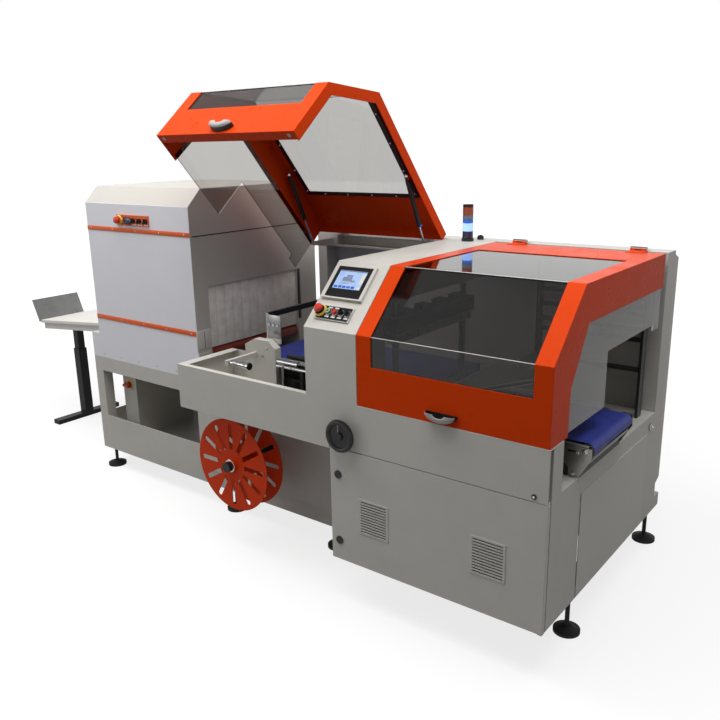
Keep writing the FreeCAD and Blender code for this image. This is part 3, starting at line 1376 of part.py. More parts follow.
def table_legs():
    feet = []
    risers = []
    apron_base = "(%s - table_board - table_apron)" % TABLE_TOP
    for place_left in LEG_PLACES:
        bar = block(place_left + " + leg_outer / 2", "%s - leg_foot_length / 2" % LEG_MIDDLE, "0", "leg_outer",
                    "leg_foot_length", "leg_foot_height")
        sleeve = block(place_left + " + leg_outer / 2", "%s - leg_outer / 2" % LEG_MIDDLE, "leg_foot_height",
                       "leg_outer", "leg_outer", "leg_step - leg_foot_height")
        bore = block(place_left + " + leg_inner / 2 + running / 2", "%s - leg_inner / 2 - running / 2" % LEG_MIDDLE,
                     "leg_foot_height + 10", "leg_inner + running", "leg_inner + running", "leg_step")
        feet.append(cut(fuse(bar, sleeve), bore))
        riser = block(place_left + " + leg_inner / 2", "%s - leg_inner / 2" % LEG_MIDDLE, "leg_riser_base",
                      "leg_inner", "leg_inner", "table_end_level + 200 - leg_riser_base")
        above = tilted(block(TABLE_START + " + 100", "table_front - 100", apron_base, "table_length + 200",
                             "table_width + 200", "600"))
        hollow = block(place_left + " + leg_inner / 2 - sheet_steel", "%s - leg_inner / 2 + sheet_steel" % LEG_MIDDLE,
                       "leg_riser_base - 1", "leg_inner - 2 * sheet_steel", "leg_inner - 2 * sheet_steel",
                       "table_end_level")
        risers.append(cut(riser, above, hollow))
    node("table_legs", together(*feet))
    node("table_risers", together(*risers))


def stop_plate():
    axis_x = "(%s + stop_knuckle + seat)" % TABLE_START
    axis_z = "(%s - stop_knuckle)" % TABLE_TOP
    plate = block(axis_x + " + 2", "table_front - 6", axis_z, "4", "stop_width", "stop_height")
    knuckle = rod("y", axis_x, "table_front - 6", axis_z, "stop_knuckle", "stop_width")
    return node("stop_plate", turned(fuse(plate, knuckle), "y", "-stop_lean", axis_z, left(axis_x)))


def tower_light():
    middle = "(%s - column_width / 2)" % COLUMN_LEFT
    base = rod("z", middle, "tower_back", "hood_top", "tower_radius + 5", "12")
    lamp = rod("z", middle, "tower_back", "hood_top + 12", "tower_radius", "tower_height - 12")
    grooves = []
    for k in range(5):
        ring = cut(rod("z", middle, "tower_back", "hood_top + 30 + 27 * %d" % k, "tower_radius + 3", "2"),
                   rod("z", middle, "tower_back", "hood_top + 29 + 27 * %d" % k, "tower_radius - 1.5", "4"))
        grooves.append(ring)
    return node("tower_light", fuse(base, cut(lamp, *grooves)))


def build_sealer():
    base_frame()
    sealer_frame()
    apron_trough()
    control_column()
    touchscreen()
    control_plate()
    panel_buttons()
    emergency_stops()
    side_panels()
    rear_cover()
    levelling_feet()
    cabinet_door()
    door_locks()
    hood("infeed_hood", HOOD_RIGHT, "right", False)
    hood("sealing_hood", SEAL_HOOD_RIGHT, "left", True)
    handwheel()
    scrap_reel()
    reel_axle()
    infeed_conveyor()
    seal_conveyor()
    lower_seal_jaw()
    upper_seal_jaw()
    film_rods()
    folding_plates()
    trim_guide()
    trim_rollers()
    tower_light()


def build_tunnel():
    tunnel_body()
    tunnel_controls()
    entry_curtain()
    electrical_box()
    main_switch()


def build_table():
    table_top()
    table_legs()
    stop_plate()


build_sealer()
build_tunnel()
build_table()
node("tail_rollers", together(*TAIL_ROLLERS))
doc.recompute()

for item in doc.Objects:
    state = list(item.State)
    if "Invalid" in state or "Error" in state:
        raise RuntimeError("%s (%s) failed: %s" % (item.Name, item.Label, state))
os.makedirs("parts", exist_ok=True)
for item in NODES:
    shape = item.Shape
    if shape.isNull() or not shape.isValid():
        raise RuntimeError(item.Label + " has no valid shape")
for item in NODES:
    item.Shape.exportStep("parts/%s.step" % item.Label)
    box = item.Shape.BoundBox
    print("%-28s %2d solids %8.3f L  x %6.0f %6.0f  y %6.0f %6.0f  z %6.0f %6.0f" % (
        item.Label, len(item.Shape.Solids), item.Shape.Volume / 1e6, box.XMin, box.XMax, box.YMin, box.YMax,
        box.ZMin, box.ZMax))
print(len(NODES), "sub-parts")
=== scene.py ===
# %% [markdown]
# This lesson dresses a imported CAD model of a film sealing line: a sealer with two
# hinged guards, a shrink tunnel and an outfeed table. The CAD solids arrive as a
# fixed frame. We keep them where they are, give them finishes, and add the small
# things that solids leave out, such as screws, rings, lenses and folded lips.

# %% Load the frame
import math

import bpy
from mathutils import Matrix, Vector


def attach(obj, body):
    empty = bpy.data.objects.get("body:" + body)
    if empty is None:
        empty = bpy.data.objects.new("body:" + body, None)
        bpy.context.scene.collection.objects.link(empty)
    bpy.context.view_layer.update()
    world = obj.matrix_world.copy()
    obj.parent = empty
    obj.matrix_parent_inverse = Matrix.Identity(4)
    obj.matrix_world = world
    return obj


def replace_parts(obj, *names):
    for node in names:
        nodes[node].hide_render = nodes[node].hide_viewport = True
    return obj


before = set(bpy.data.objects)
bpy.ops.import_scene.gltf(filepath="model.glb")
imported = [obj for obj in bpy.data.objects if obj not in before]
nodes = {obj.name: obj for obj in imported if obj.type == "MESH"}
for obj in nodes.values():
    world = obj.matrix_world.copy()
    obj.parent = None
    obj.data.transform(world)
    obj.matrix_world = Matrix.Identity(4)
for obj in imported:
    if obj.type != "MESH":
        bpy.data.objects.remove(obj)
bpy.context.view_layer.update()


def corners(box):
    """Points as plain lists, in metres."""
    return [[round(value, 5) for value in corner] for corner in box]


# %% [markdown]
# On the drawing, places are counted in millimetres to the left of the sealer's right
# end, behind its front face and above the floor. The frame's origin is under the
# front right foot, so one helper turns such a place into metres in the frame.

# %% Places as on the drawing
FOOT_TO_END = 45.0
FOOT_TO_FRONT = 340.0


def at(left, back, up):
    return Vector((FOOT_TO_END - left, back - FOOT_TO_FRONT, up)) / 1000.0


print("Centre of the handwheel:", corners([at(852, 0, 747)]))

# %% [markdown]
# The camera comes early. Its place, turn and lens were worked out from the machine's
# straight edges. A camera looks along its own -Z, so its turn is built from the three
# directions it looks along.

# %% Camera at the viewing angle
CAMERA_PLACE = (0.99105, -2.55572, 1.83540)
YAW, PITCH, ROLL = 37.7787, 15.4939, -1.0555
LENS_PIXELS, FRAME_PIXELS, SENSOR = 777.46, 720.0, 36.0
yaw, pitch, roll = (math.radians(angle) for angle in (YAW, PITCH, ROLL))
forward = Vector((-math.sin(yaw) * math.cos(pitch), math.cos(yaw) * math.cos(pitch), -math.sin(pitch)))
level = Vector((math.cos(yaw), math.sin(yaw), 0.0))
upright = level.cross(forward)
right = level * math.cos(roll) + upright * math.sin(roll)
up = upright * math.cos(roll) - level * math.sin(roll)
bpy.ops.object.camera_add(location=CAMERA_PLACE)
camera = bpy.context.object
camera.name = "photo_camera"
turn = Matrix((right, up, -forward)).transposed()
camera.rotation_euler = turn.to_euler()
camera.data.sensor_width = SENSOR
camera.data.lens = SENSOR * LENS_PIXELS / FRAME_PIXELS
camera.data.clip_end = 60.0
bpy.context.scene.camera = camera
print("Lens in millimetres:", round(camera.data.lens, 2))

# %% [markdown]
# The machine stands in a plain pale room. The floor is a large pale sheet. Rays that
# come straight from the camera, or through glass and off metal, see it lifted to
# white, while the light that falls on the machine stays at a plain level. The
# machine's soft shadow stays, because only a share of the floor's brightness is added.

# %% Floor
WHITE = (1.0, 1.0, 1.0, 1.0)
MIRRORED_SHARE = 0.32
FLOOR_SIZE, FLOOR_TONE = 60.0, 0.24
LINE_MIDDLE = (-1.9, 0.3, 0.0)
NEAR, FAR, NEAR_LIFT = 2.4, 5.0, 0.78


def new_material(name):
    material = bpy.data.materials.new(name)
    material.use_nodes = True
    material.node_tree.nodes.clear()
    return material


def add_node(tree, kind, **values):
    """A node with its settings and its inputs' values, given by name."""
    node = tree.nodes.new(kind)
    for key, value in values.items():
        if hasattr(node, key):
            setattr(node, key, value)
        else:
            node.inputs[key.replace("_", " ")].default_value = value
    return node


def object_point(tree):
    return add_node(tree, "ShaderNodeTexCoord").outputs["Object"]


def remap(tree, value, low, high, to_low=0.0, to_high=1.0):
    node = add_node(tree, "ShaderNodeMapRange", From_Min=low, From_Max=high, To_Min=to_low, To_Max=to_high)
    tree.links.new(value, node.inputs["Value"])
    return node.outputs[0]


def arithmetic(tree, operation, first, second):
    node = add_node(tree, "ShaderNodeMath", operation=operation)
    for index, value in enumerate((first, second)):
        if isinstance(value, (int, float)):
            node.inputs[index].default_value = value
        else:
            tree.links.new(value, node.inputs[index])
    return node.outputs[0]


def seen_share(tree, mirrored_share=MIRRORED_SHARE):
    """One where the eye looks straight or through glass, less in a mirror, nothing for lighting."""
    path = add_node(tree, "ShaderNodeLightPath")
    mirrored = arithmetic(tree, "MULTIPLY", path.outputs["Is Glossy Ray"], mirrored_share)
    direct = arithmetic(tree, "MAXIMUM", path.outputs["Is Camera Ray"], path.outputs["Is Transmission Ray"])
    unlit = arithmetic(tree, "LESS_THAN", path.outputs["Diffuse Depth"], 0.5)
    return arithmetic(tree, "MULTIPLY", arithmetic(tree, "MAXIMUM", direct, mirrored), unlit)


bpy.ops.mesh.primitive_plane_add(size=FLOOR_SIZE)
floor = bpy.context.object
floor.name = "pale_floor"
floor_finish = new_material("pale_floor_finish")
tree = floor_finish.node_tree
coat = add_node(tree, "ShaderNodeBsdfPrincipled", Base_Color=(FLOOR_TONE, FLOOR_TONE, FLOOR_TONE, 1.0),
                Roughness=0.6, Specular_IOR_Level=0.2, Emission_Color=WHITE)
away = add_node(tree, "ShaderNodeVectorMath", operation="DISTANCE")
away.inputs[1].default_value = LINE_MIDDLE
tree.links.new(object_point(tree), away.inputs[0])
reach = remap(tree, away.outputs["Value"], NEAR, FAR, NEAR_LIFT, 1.0)
tree.links.new(arithmetic(tree, "MULTIPLY", seen_share(tree), reach), coat.inputs["Emission Strength"])
tree.links.new(coat.outputs[0], add_node(tree, "ShaderNodeOutputMaterial").inputs[0])
floor.data.materials.append(floor_finish)
print("Floor:", tuple(floor.dimensions))

# %% [markdown]
# The world is white where the camera or a reflection meets it, and a soft grey where
# it only lights the machine. A mirror sees a bright backdrop low down and a dull ceiling
# above. Large soft lamps do the rest: two overhead for the bright tops and slopes, and
# a weak one at the front left for the tunnel's door.

# %% World and lamps
BACKDROP_SHARE, CEILING_SHARE = 0.85, 0.12
CEILING_FROM, CEILING_FULL = 0.30, 0.50
ROOM_LIGHT = 0.20


def part_along(tree, vector, axis):
    split = add_node(tree, "ShaderNodeSeparateXYZ")
    tree.links.new(vector, split.inputs[0])
    return split.outputs[axis]


world = bpy.data.worlds.new("plain_room")
bpy.context.scene.world = world
world.use_nodes = True
tree = world.node_tree
tree.nodes.clear()
upwards = part_along(tree, add_node(tree, "ShaderNodeTexCoord").outputs["Generated"], "Z")
low_sky = remap(tree, upwards, CEILING_FROM, CEILING_FULL, BACKDROP_SHARE, CEILING_SHARE)
strength = remap(tree, seen_share(tree, low_sky), 0.0, 1.0, ROOM_LIGHT, 1.0)
backdrop = add_node(tree, "ShaderNodeBackground", Color=WHITE)
tree.links.new(strength, backdrop.inputs["Strength"])
tree.links.new(backdrop.outputs[0], add_node(tree, "ShaderNodeOutputWorld").inputs[0])
LAMPS = {
    "right_softbox": ((-0.1, -0.42, 4.2), (-0.4, 0.0, 0.8), (4.4, 2.3), 138.0),
    "left_softbox": ((-3.7, -0.42, 4.2), (-3.3, 0.1, 0.8), (2.4, 2.2), 112.0),
    "front_left_softbox": ((-5.2, -4.0, 2.2), (-2.4, 0.0, 1.0), (2.4, 2.0), 24.0),
}
for name, (place, target, size, power) in LAMPS.items():
    bpy.ops.object.light_add(type="AREA", location=place)
    lamp = bpy.context.object
    lamp.name = name
    lamp.data.shape = "RECTANGLE"
    lamp.data.size, lamp.data.size_y = size
    lamp.data.energy = power
    lamp.rotation_euler = (Vector(target) - Vector(place)).to_track_quat("-Z", "Y").to_euler()
    lamp.visible_glossy = name == "front_left_softbox"
    lamp.visible_transmission = False
bpy.context.scene.view_settings.view_transform = "Standard"

# %% [markdown]
# Powder coat is the finish of nearly every panel here: a satin skin with a fine
# orange-peel ripple, a slow drift in tone and some dust on faces that look up. Every
# paint shares that recipe, so it is one node group with its own colour per paint.

# %% Powder coat group
def new_group(name, inputs, outputs):
    group = bpy.data.node_groups.new(name, "ShaderNodeTree")
    for title, kind, value in inputs:
        socket = group.interface.new_socket(name=title, in_out="INPUT", socket_type="NodeSocket" + kind)
        socket.default_value = value
    for title, kind in outputs:
        group.interface.new_socket(name=title, in_out="OUTPUT", socket_type="NodeSocket" + kind)
    return group, group.nodes.new("NodeGroupInput"), group.nodes.new("NodeGroupOutput")


def put_out(group, made, **values):
    for title, value in values.items():
        group.links.new(value, made.inputs[title])


def noise(tree, coordinates, scale, detail=2.0):
    node = add_node(tree, "ShaderNodeTexNoise", Scale=scale, Detail=detail)
    tree.links.new(coordinates, node.inputs["Vector"])
    return node.outputs[0]


def blend_colours(tree, factor, first, second):
    node = add_node(tree, "ShaderNodeMix", data_type="RGBA")
    for socket, value in ((node.inputs[0], factor), (node.inputs[6], first), (node.inputs[7], second)):
        if isinstance(value, (int, float, tuple)):
            socket.default_value = value
        else:
            tree.links.new(value, socket)
    return node.outputs[2]


def scaled_colour(tree, colour, factor):
    node = add_node(tree, "ShaderNodeVectorMath", operation="SCALE")
    tree.links.new(colour, node.inputs[0])
    tree.links.new(factor, node.inputs["Scale"])
    return node.outputs[0]


SKIN_OUTPUTS = [("Colour", "Color"), ("Roughness", "Float"), ("Height", "Float")]
DUST_TINT = (0.55, 0.53, 0.49, 1.0)
powder, given, made = new_group(
    "powder_coat",
    [("Colour", "Color", WHITE), ("Drift", "Float", 0.1), ("Dust", "Float", 0.1), ("Gloss", "Float", 0.4)],
    SKIN_OUTPUTS)
place = object_point(powder)
broad = noise(powder, place, 1.7, 3.0)
patch = noise(powder, place, 14.0, 4.0)
peel = noise(powder, place, 900.0, 1.0)
mixed = arithmetic(powder, "ADD", broad, arithmetic(powder, "MULTIPLY", patch, 0.5))
shade = remap(powder, mixed, 0.45, 1.05, -0.5, 0.5)
tone = arithmetic(powder, "ADD", arithmetic(powder, "MULTIPLY", shade, given.outputs["Drift"]), 1.0)
toned = scaled_colour(powder, given.outputs["Colour"], tone)
normal = add_node(powder, "ShaderNodeNewGeometry").outputs["Normal"]
facing_up = remap(powder, part_along(powder, normal, "Z"), 0.5, 1.0)
settled = arithmetic(powder, "MULTIPLY", facing_up, remap(powder, patch, 0.3, 0.7, 0.3, 1.0))
dust = arithmetic(powder, "MULTIPLY", settled, given.outputs["Dust"])
rough = arithmetic(powder, "ADD", given.outputs["Gloss"], remap(powder, patch, 0.3, 0.7, -0.05, 0.06))
put_out(powder, made, Colour=blend_colours(powder, dust, toned, DUST_TINT), Height=peel,
        Roughness=arithmetic(powder, "ADD", rough, arithmetic(powder, "MULTIPLY", dust, 0.5)))
print("Groups:", [g.name for g in bpy.data.node_groups])

# %% [markdown]
# Folded sheet has no knife-sharp edges. A second group rounds every edge in the
# shading only, and tells where the edges are, so a paint can wear thin there. It is
# made once and each finish gives it the radius of its own folds.

# %% Edge group
edges, given, made = new_group(
    "soft_edges",
    [("Radius", "Float", 0.002), ("Wear", "Float", 0.3)], [("Normal", "Vector"), ("Worn", "Float")])
rounded = add_node(edges, "ShaderNodeBevel", samples=4)
edges.links.new(given.outputs["Radius"], rounded.inputs["Radius"])
flat = add_node(edges, "ShaderNodeNewGeometry")
turned = add_node(edges, "ShaderNodeVectorMath", operation="DOT_PRODUCT")
edges.links.new(rounded.outputs[0], turned.inputs[0])
edges.links.new(flat.outputs["True Normal"], turned.inputs[1])
edge_line = remap(edges, turned.outputs["Value"], 0.995, 0.80)
broken = remap(edges, noise(edges, object_point(edges), 35.0, 3.0), 0.42, 0.62)
bare_line = arithmetic(edges, "MULTIPLY", edge_line, broken)
put_out(edges, made, Normal=rounded.outputs[0],
        Worn=arithmetic(edges, "MULTIPLY", bare_line, given.outputs["Wear"]))
print("Groups:", [g.name for g in bpy.data.node_groups])

# %% [markdown]
# A painted finish joins the two groups: the powder coat gives colour and ripple, the
# edges round the light and show a little bare metal. The Principled shader itself
# stays in the material, and what is the same all over is set on its own sockets. Some
# parts carry two colours, such as the tunnel with its white door and grey hood, so
# their paint takes its colour from where a point lies along one axis. The tunnel's grey
# is set a little darker than the body grey, as painted shade on its shaded side.

# %% Paints
def rgba(colour):
    return (*colour, 1.0)


def surface(name, **values):
    """A material with its tree and its Principled shader."""
    material = new_material(name)
    tree = material.node_tree
    shader = add_node(tree, "ShaderNodeBsdfPrincipled", **values)
    tree.links.new(shader.outputs[0], add_node(tree, "ShaderNodeOutputMaterial").inputs["Surface"])
    return material, tree, shader


def place_group(tree, group, **values):
    return add_node(tree, "ShaderNodeGroup", node_tree=group, **values)


def relief(tree, shader, skin, radius, wear, strength, distance):
    """Links a skin to its shader, with the ripple over rounded edges, and returns the edges."""
    edge = place_group(tree, edges, Radius=radius, Wear=wear)
    bump = add_node(tree, "ShaderNodeBump", Strength=strength, Distance=distance)
    for source, title in ((skin, "Height"), (edge, "Normal")):
        tree.links.new(source.outputs[title], bump.inputs[title])
    tree.links.new(skin.outputs["Colour"], shader.inputs["Base Color"])
    tree.links.new(skin.outputs["Roughness"], shader.inputs["Roughness"])
    tree.links.new(bump.outputs[0], shader.inputs["Normal"])
    return edge


def paint(name, colour, gloss=0.42, drift=0.10, dust=0.12, radius=0.0025, wear=0.35, bare=(0.62, 0.61, 0.58),
          ripple=0.05, shine=0.35, ior=1.5):
    material, tree, shader = surface(name, Specular_IOR_Level=shine, IOR=ior)
    coat = place_group(tree, powder, Colour=rgba(colour), Drift=drift, Dust=dust, Gloss=gloss)
    edge = relief(tree, shader, coat, radius, wear, ripple, 0.0006)
    shown = blend_colours(tree, edge.outputs["Worn"], coat.outputs["Colour"], rgba(bare))
    tree.links.new(shown, shader.inputs["Base Color"])
    return material


def two_tone(name, axis, start, end, before, after, **look):
    """A paint whose colour changes from one to the other between two places on an axis."""
    material = paint(name, before, **look)
    tree = material.node_tree
    share = remap(tree, part_along(tree, object_point(tree), axis), start, end)
    coat = next(node for node in tree.nodes if node.type == "GROUP" and node.node_tree == powder)
    tree.links.new(blend_colours(tree, share, rgba(before), rgba(after)), coat.inputs["Colour"])
    return material


PALE = (0.60, 0.58, 0.535)
panel_grey = paint("panel_grey", PALE)
stand_grey = paint("stand_grey", (0.57, 0.55, 0.505), drift=0.14, dust=0.15)
guard_orange = paint("guard_orange", (0.68, 0.052, 0.002), gloss=0.30, drift=0.06, dust=0.03,
                     bare=(0.80, 0.22, 0.07), shine=0.3, ior=1.2)
# Behind the white door the tunnel is grey paint, set a little darker than the body grey: partly painted shade
# for its shaded side.
tunnel_white_and_shaded_grey = two_tone("tunnel_white_and_shaded_grey", "Y", -0.0290, -0.0286, (0.82, 0.82, 0.87), (0.52, 0.495, 0.455),
                        gloss=0.40, drift=0.05)
stripe_orange = paint("stripe_orange", (0.78, 0.12, 0.02), gloss=0.35, drift=0.05, dust=0.0, radius=0.001)
satin_black = paint("satin_black", (0.012, 0.012, 0.013), gloss=0.38, drift=0.3, dust=0.03, wear=0.15,
                    radius=0.001)
table_white = paint("table_white", (0.84, 0.815, 0.77), gloss=0.45, drift=0.05, dust=0.1)
reel_orange = paint("reel_orange", (0.70, 0.048, 0.003), gloss=0.36, drift=0.12, dust=0.02, radius=0.0012,
                    bare=(0.75, 0.20, 0.06), shine=0.12)
print("Paints:", len([m for m in bpy.data.materials if m.name != "pale_floor_finish"]))

# %% [markdown]
# Bare metals come in three kinds. Sheet and bars are brushed, with fine lines along
# one direction. Turned rollers and bolts are brighter, with faint rings. Chrome is
# nearly a mirror and only shows smudges. One group makes the lines: noise squeezed
# along a chosen direction.

# %% Metal grain group
grain, given, made = new_group(
    "metal_grain",
    [("Stretch", "Vector", (1.0, 1.0, 1.0)), ("Colour", "Color", WHITE), ("Rough", "Float", 0.3)],
    SKIN_OUTPUTS)
place = object_point(grain)
squeezed = add_node(grain, "ShaderNodeVectorMath", operation="MULTIPLY")
grain.links.new(place, squeezed.inputs[0])
grain.links.new(given.outputs["Stretch"], squeezed.inputs[1])
lines = noise(grain, squeezed.outputs[0], 1.0, 3.0)
smudge = noise(grain, place, 9.0, 3.0)
tone = arithmetic(grain, "MULTIPLY", remap(grain, lines, 0.25, 0.75, 0.82, 1.08),
                  remap(grain, smudge, 0.3, 0.7, 0.9, 1.05))
rough = arithmetic(grain, "ADD", given.outputs["Rough"], remap(grain, smudge, 0.3, 0.7, -0.05, 0.09))
put_out(grain, made, Colour=scaled_colour(grain, given.outputs["Colour"], tone), Height=lines,
        Roughness=rough)


def metal(name, colour, rough, stretch, depth=0.15):
    material, tree, shader = surface(name, Metallic=1.0)
    lines = place_group(tree, grain, Stretch=stretch, Colour=rgba(colour), Rough=rough)
    relief(tree, shader, lines, 0.001, 0.0, depth, 0.0003)
    return material


brushed_x = metal("brushed_steel_along", (0.55, 0.55, 0.54), 0.30, (6.0, 1200.0, 1200.0))
brushed_y = metal("brushed_steel_across", (0.52, 0.52, 0.52), 0.32, (1200.0, 6.0, 1200.0))
aluminium = metal("satin_aluminium", (0.62, 0.62, 0.61), 0.38, (8.0, 700.0, 700.0))
bright_steel = metal("bright_steel", (0.72, 0.71, 0.69), 0.14, (300.0, 300.0, 300.0), depth=0.03)
chrome = metal("chrome_plate", (0.80, 0.80, 0.80), 0.07, (60.0, 60.0, 60.0), depth=0.01)
print("Materials with the metals:", len(bpy.data.materials))

# %% [markdown]
# Moulded plastic has a fine stipple and no drift in tone, and rubber belting has a
# light weave that shows as a dull cross-hatch. The panes are smoked acrylic, in two
# copies. The open guard's panes let light through to what is behind them, so their
# shadow is only a thin one. The closed guard's panes cast a dense shadow and are tinted
# darker, and the darker tint is painted shade for the dim space behind them.

# %% Plastics, belting and panes
stipple, given, made = new_group(
    "stipple",
    [("Colour", "Color", WHITE), ("Grain", "Float", 1500.0), ("Rough", "Float", 0.4)], SKIN_OUTPUTS)
place = object_point(stipple)
dots = add_node(stipple, "ShaderNodeTexNoise")
stipple.links.new(place, dots.inputs["Vector"])
stipple.links.new(given.outputs["Grain"], dots.inputs["Scale"])
handled = noise(stipple, place, 22.0, 3.0)
tone = remap(stipple, handled, 0.3, 0.7, 0.88, 1.08)
rough = arithmetic(stipple, "ADD", given.outputs["Rough"], remap(stipple, handled, 0.3, 0.7, -0.06, 0.1))
put_out(stipple, made, Colour=scaled_colour(stipple, given.outputs["Colour"], tone), Height=dots.outputs[0],
        Roughness=rough)


def plastic(name, colour, rough=0.4, grain_scale=1500.0, depth=0.08, clear_coat=0.0, glow=0.0):
    material, tree, shader = surface(name, Coat_Weight=clear_coat, Coat_Roughness=0.08,
                                     Emission_Color=rgba(colour), Emission_Strength=glow)
    skin = place_group(tree, stipple, Colour=rgba(colour), Grain=grain_scale, Rough=rough)
    relief(tree, shader, skin, 0.0008, 0.0, depth, 0.0004)
    return material


black_plastic = plastic("black_plastic", (0.010, 0.010, 0.011), rough=0.34)
light_plastic = plastic("light_grey_plastic", (0.44, 0.43, 0.41), rough=0.38)
stop_red = plastic("stop_red", (0.62, 0.030, 0.012), rough=0.28, clear_coat=0.4)
ring_yellow = plastic("ring_yellow", (0.80, 0.52, 0.05), rough=0.35)
lens_white = plastic("lens_white", (0.80, 0.80, 0.78), rough=0.25, clear_coat=0.5)
lens_green = plastic("lens_green", (0.03, 0.22, 0.06), rough=0.25, clear_coat=0.5)
rubber = plastic("black_rubber", (0.014, 0.014, 0.014), rough=0.65, grain_scale=500.0, depth=0.2)
curtain_beige = plastic("curtain_beige", (0.90, 0.87, 0.80), rough=0.6, grain_scale=300.0, depth=0.1)
blue_belt = plastic("blue_belt", (0.030, 0.045, 0.26), rough=0.55, grain_scale=420.0, depth=0.3)
red_band = plastic("red_brown_band", (0.17, 0.022, 0.014), rough=0.5, grain_scale=420.0, depth=0.2)
lamp_blue = plastic("lamp_blue", (0.03, 0.12, 0.62), rough=0.2, clear_coat=0.6, glow=0.25)
lamp_lit = plastic("lamp_lit", (0.30, 0.50, 1.0), rough=0.2, clear_coat=0.6, glow=0.9)
GRAZING_TINT = (0.20, 0.19, 0.18, 1.0)


def pane(name, colour, shadow):
    """Tinted acrylic, which looks darker where the eye only grazes it."""
    material, tree, shader = surface(name, IOR=1.49, Transmission_Weight=1.0, Roughness=0.03)
    grazing = remap(tree, add_node(tree, "ShaderNodeLayerWeight").outputs["Facing"], 0.82, 0.97)
    tree.links.new(blend_colours(tree, grazing, rgba(colour), GRAZING_TINT), shader.inputs["Base Color"])
    path = add_node(tree, "ShaderNodeLightPath")
    tree.links.new(remap(tree, path.outputs["Is Shadow Ray"], 0.0, 1.0, 1.0, shadow), shader.inputs["Alpha"])
    return material


# The closed guard's pane is tinted darker than the open guard's: painted shade for the dim space behind it.
smoked_pane_painted_shade = pane("smoked_acrylic", (0.35, 0.345, 0.335), shadow=0.93)
light_pane = pane("light_smoked_acrylic", (0.53, 0.525, 0.51), shadow=0.45)
print("Plastics and panes:", len(bpy.data.materials), "materials in all")

# %% [markdown]
# Now each CAD node takes a finish. The solids that a detailed piece will stand for
# get one too, so nothing is left bare while the scene is being built. The film guide
# is black behind its front plates, the jaw pale at its fins, and the leftmost film
# post dark red.

# %% Finishes on the CAD nodes
BLACK = (0.012, 0.012, 0.013)
guide_finish = two_tone("guide_grey_and_black", "Y", 0.0128, 0.0132, PALE, BLACK, wear=0.2)
jaw_finish = two_tone("jaw_black_and_pale", "Z", 1.132, 1.134, (0.34, 0.33, 0.31), BLACK, wear=0.2,
                      radius=0.001)
post_finish = two_tone("post_red_and_black", "X", -0.426, -0.424, (0.085, 0.008, 0.006),
                       (0.030, 0.030, 0.032), gloss=0.30, wear=0.1, radius=0.001, dust=0.02)
# The infeed bed is painted near black: painted shade for the shadowed gap under the conveyor.
bed_painted_shade = paint("bed_painted_shade", (0.050, 0.047, 0.042), gloss=0.45, drift=0.25, dust=0.05, wear=0.2, radius=0.001)
FINISHES = {
    panel_grey: "body_panels apron_trough rear_cover cabinet_door control_column electrical_box",
    stand_grey: "base_frame sealer_frame",
    guard_orange: "infeed_hood sealing_hood",
    tunnel_white_and_shaded_grey: "tunnel_body",
    stripe_orange: "tunnel_plate",
    smoked_pane_painted_shade: "infeed_hood_glazing",
    light_pane: "sealing_hood_glazing",
    black_plastic: "touchscreen control_plate infeed_hood_handle sealing_hood_handle mode_selector "
                   "speed_selector door_lock_upper door_lock_lower handwheel reel_axle tunnel_knob_left "
                   "tunnel_knob_middle tunnel_knob_right",
    stop_red: "emergency_stop stop_button tunnel_stop main_switch",
    lens_green: "start_button",
    blue_belt: "infeed_belt seal_belt",
    red_band: "tunnel_belt",
    satin_black: "seal_bed table_legs table_risers infeed_hood_strut_tubes sealing_hood_strut_tubes "
                 "lower_seal_jaw",
    chrome: "infeed_hood_strut_rods sealing_hood_strut_rods trim_roller",
    brushed_y: "tail_rollers infeed_drive_roller seal_drive_roller tunnel_drive_roller",
    guide_finish: "trim_guide",
    jaw_finish: "upper_seal_jaw",
    post_finish: "film_guides",
    bed_painted_shade: "infeed_bed",
    aluminium: "folding_plates",
    brushed_x: "stop_plate",
    reel_orange: "scrap_reel",
    table_white: "table_top",
    curtain_beige: "entry_curtain",
    lamp_blue: "tower_light",
    rubber: "levelling_feet",
}


def give(piece, material):
    if piece.data.materials:
        for index in range(len(piece.data.materials)):
            piece.data.materials[index] = material
    else:
        piece.data.materials.append(material)


finished = set()
for material, names in FINISHES.items():
    for name in names.split():
        give(nodes[name], material)
        finished.add(name)
print("Nodes without a finish:", sorted(set(nodes) - finished))

# %% [markdown]
# The CAD solids stop where small parts begin. The rest of this lesson models those: a
# primitive is added, shaped in edit mode and finished with applied modifiers. Three
# helpers cover nearly all of them. The first is the slab, a plate or bar whose edges
# are bevelled, because no real edge is sharp.

# %% Slab helper
MM = 0.001


def only(piece):
    bpy.ops.object.select_all(action="DESELECT")
    piece.select_set(True)
    bpy.context.view_layer.objects.active = piece


def settle(piece):
    """Bakes a part's place, turn and scale into its mesh."""
    only(piece)
    bpy.ops.object.transform_apply()
    return piece


def modified(piece, kind, **settings):
    """Adds a modifier with its settings and applies it."""
    modifier = piece.modifiers.new(kind.title(), kind)
    for key, value in settings.items():
        setattr(modifier, key, value)
    only(piece)
    bpy.ops.object.modifier_apply(modifier=modifier.name)
    return piece


def sampled(kind, piece):
    print("A", kind, "has", len(piece.data.polygons), "faces")
    bpy.data.objects.remove(piece)


def slab(width, height, thickness, edge=0.8, segments=2):
    """A plate with its back on the local ground and its face at the given thickness."""
    bpy.ops.mesh.primitive_cube_add(size=MM, location=(0.0, 0.0, thickness * MM / 2))
    piece = bpy.context.object
    piece.scale = (width, height, thickness)
    return modified(settle(piece), "BEVEL", width=edge * MM, segments=segments)


sampled("slab", slab(20, 10, 3))

# %% [markdown]
# Round parts are turned on a lathe: a disc is extruded upwards step by step, and each
# new ring is scaled to the radius of the profile there. The last step leaves a flat
# cap, so the shape is always closed. A screw, a knob and a lamp only differ in their
# list of radii and heights.

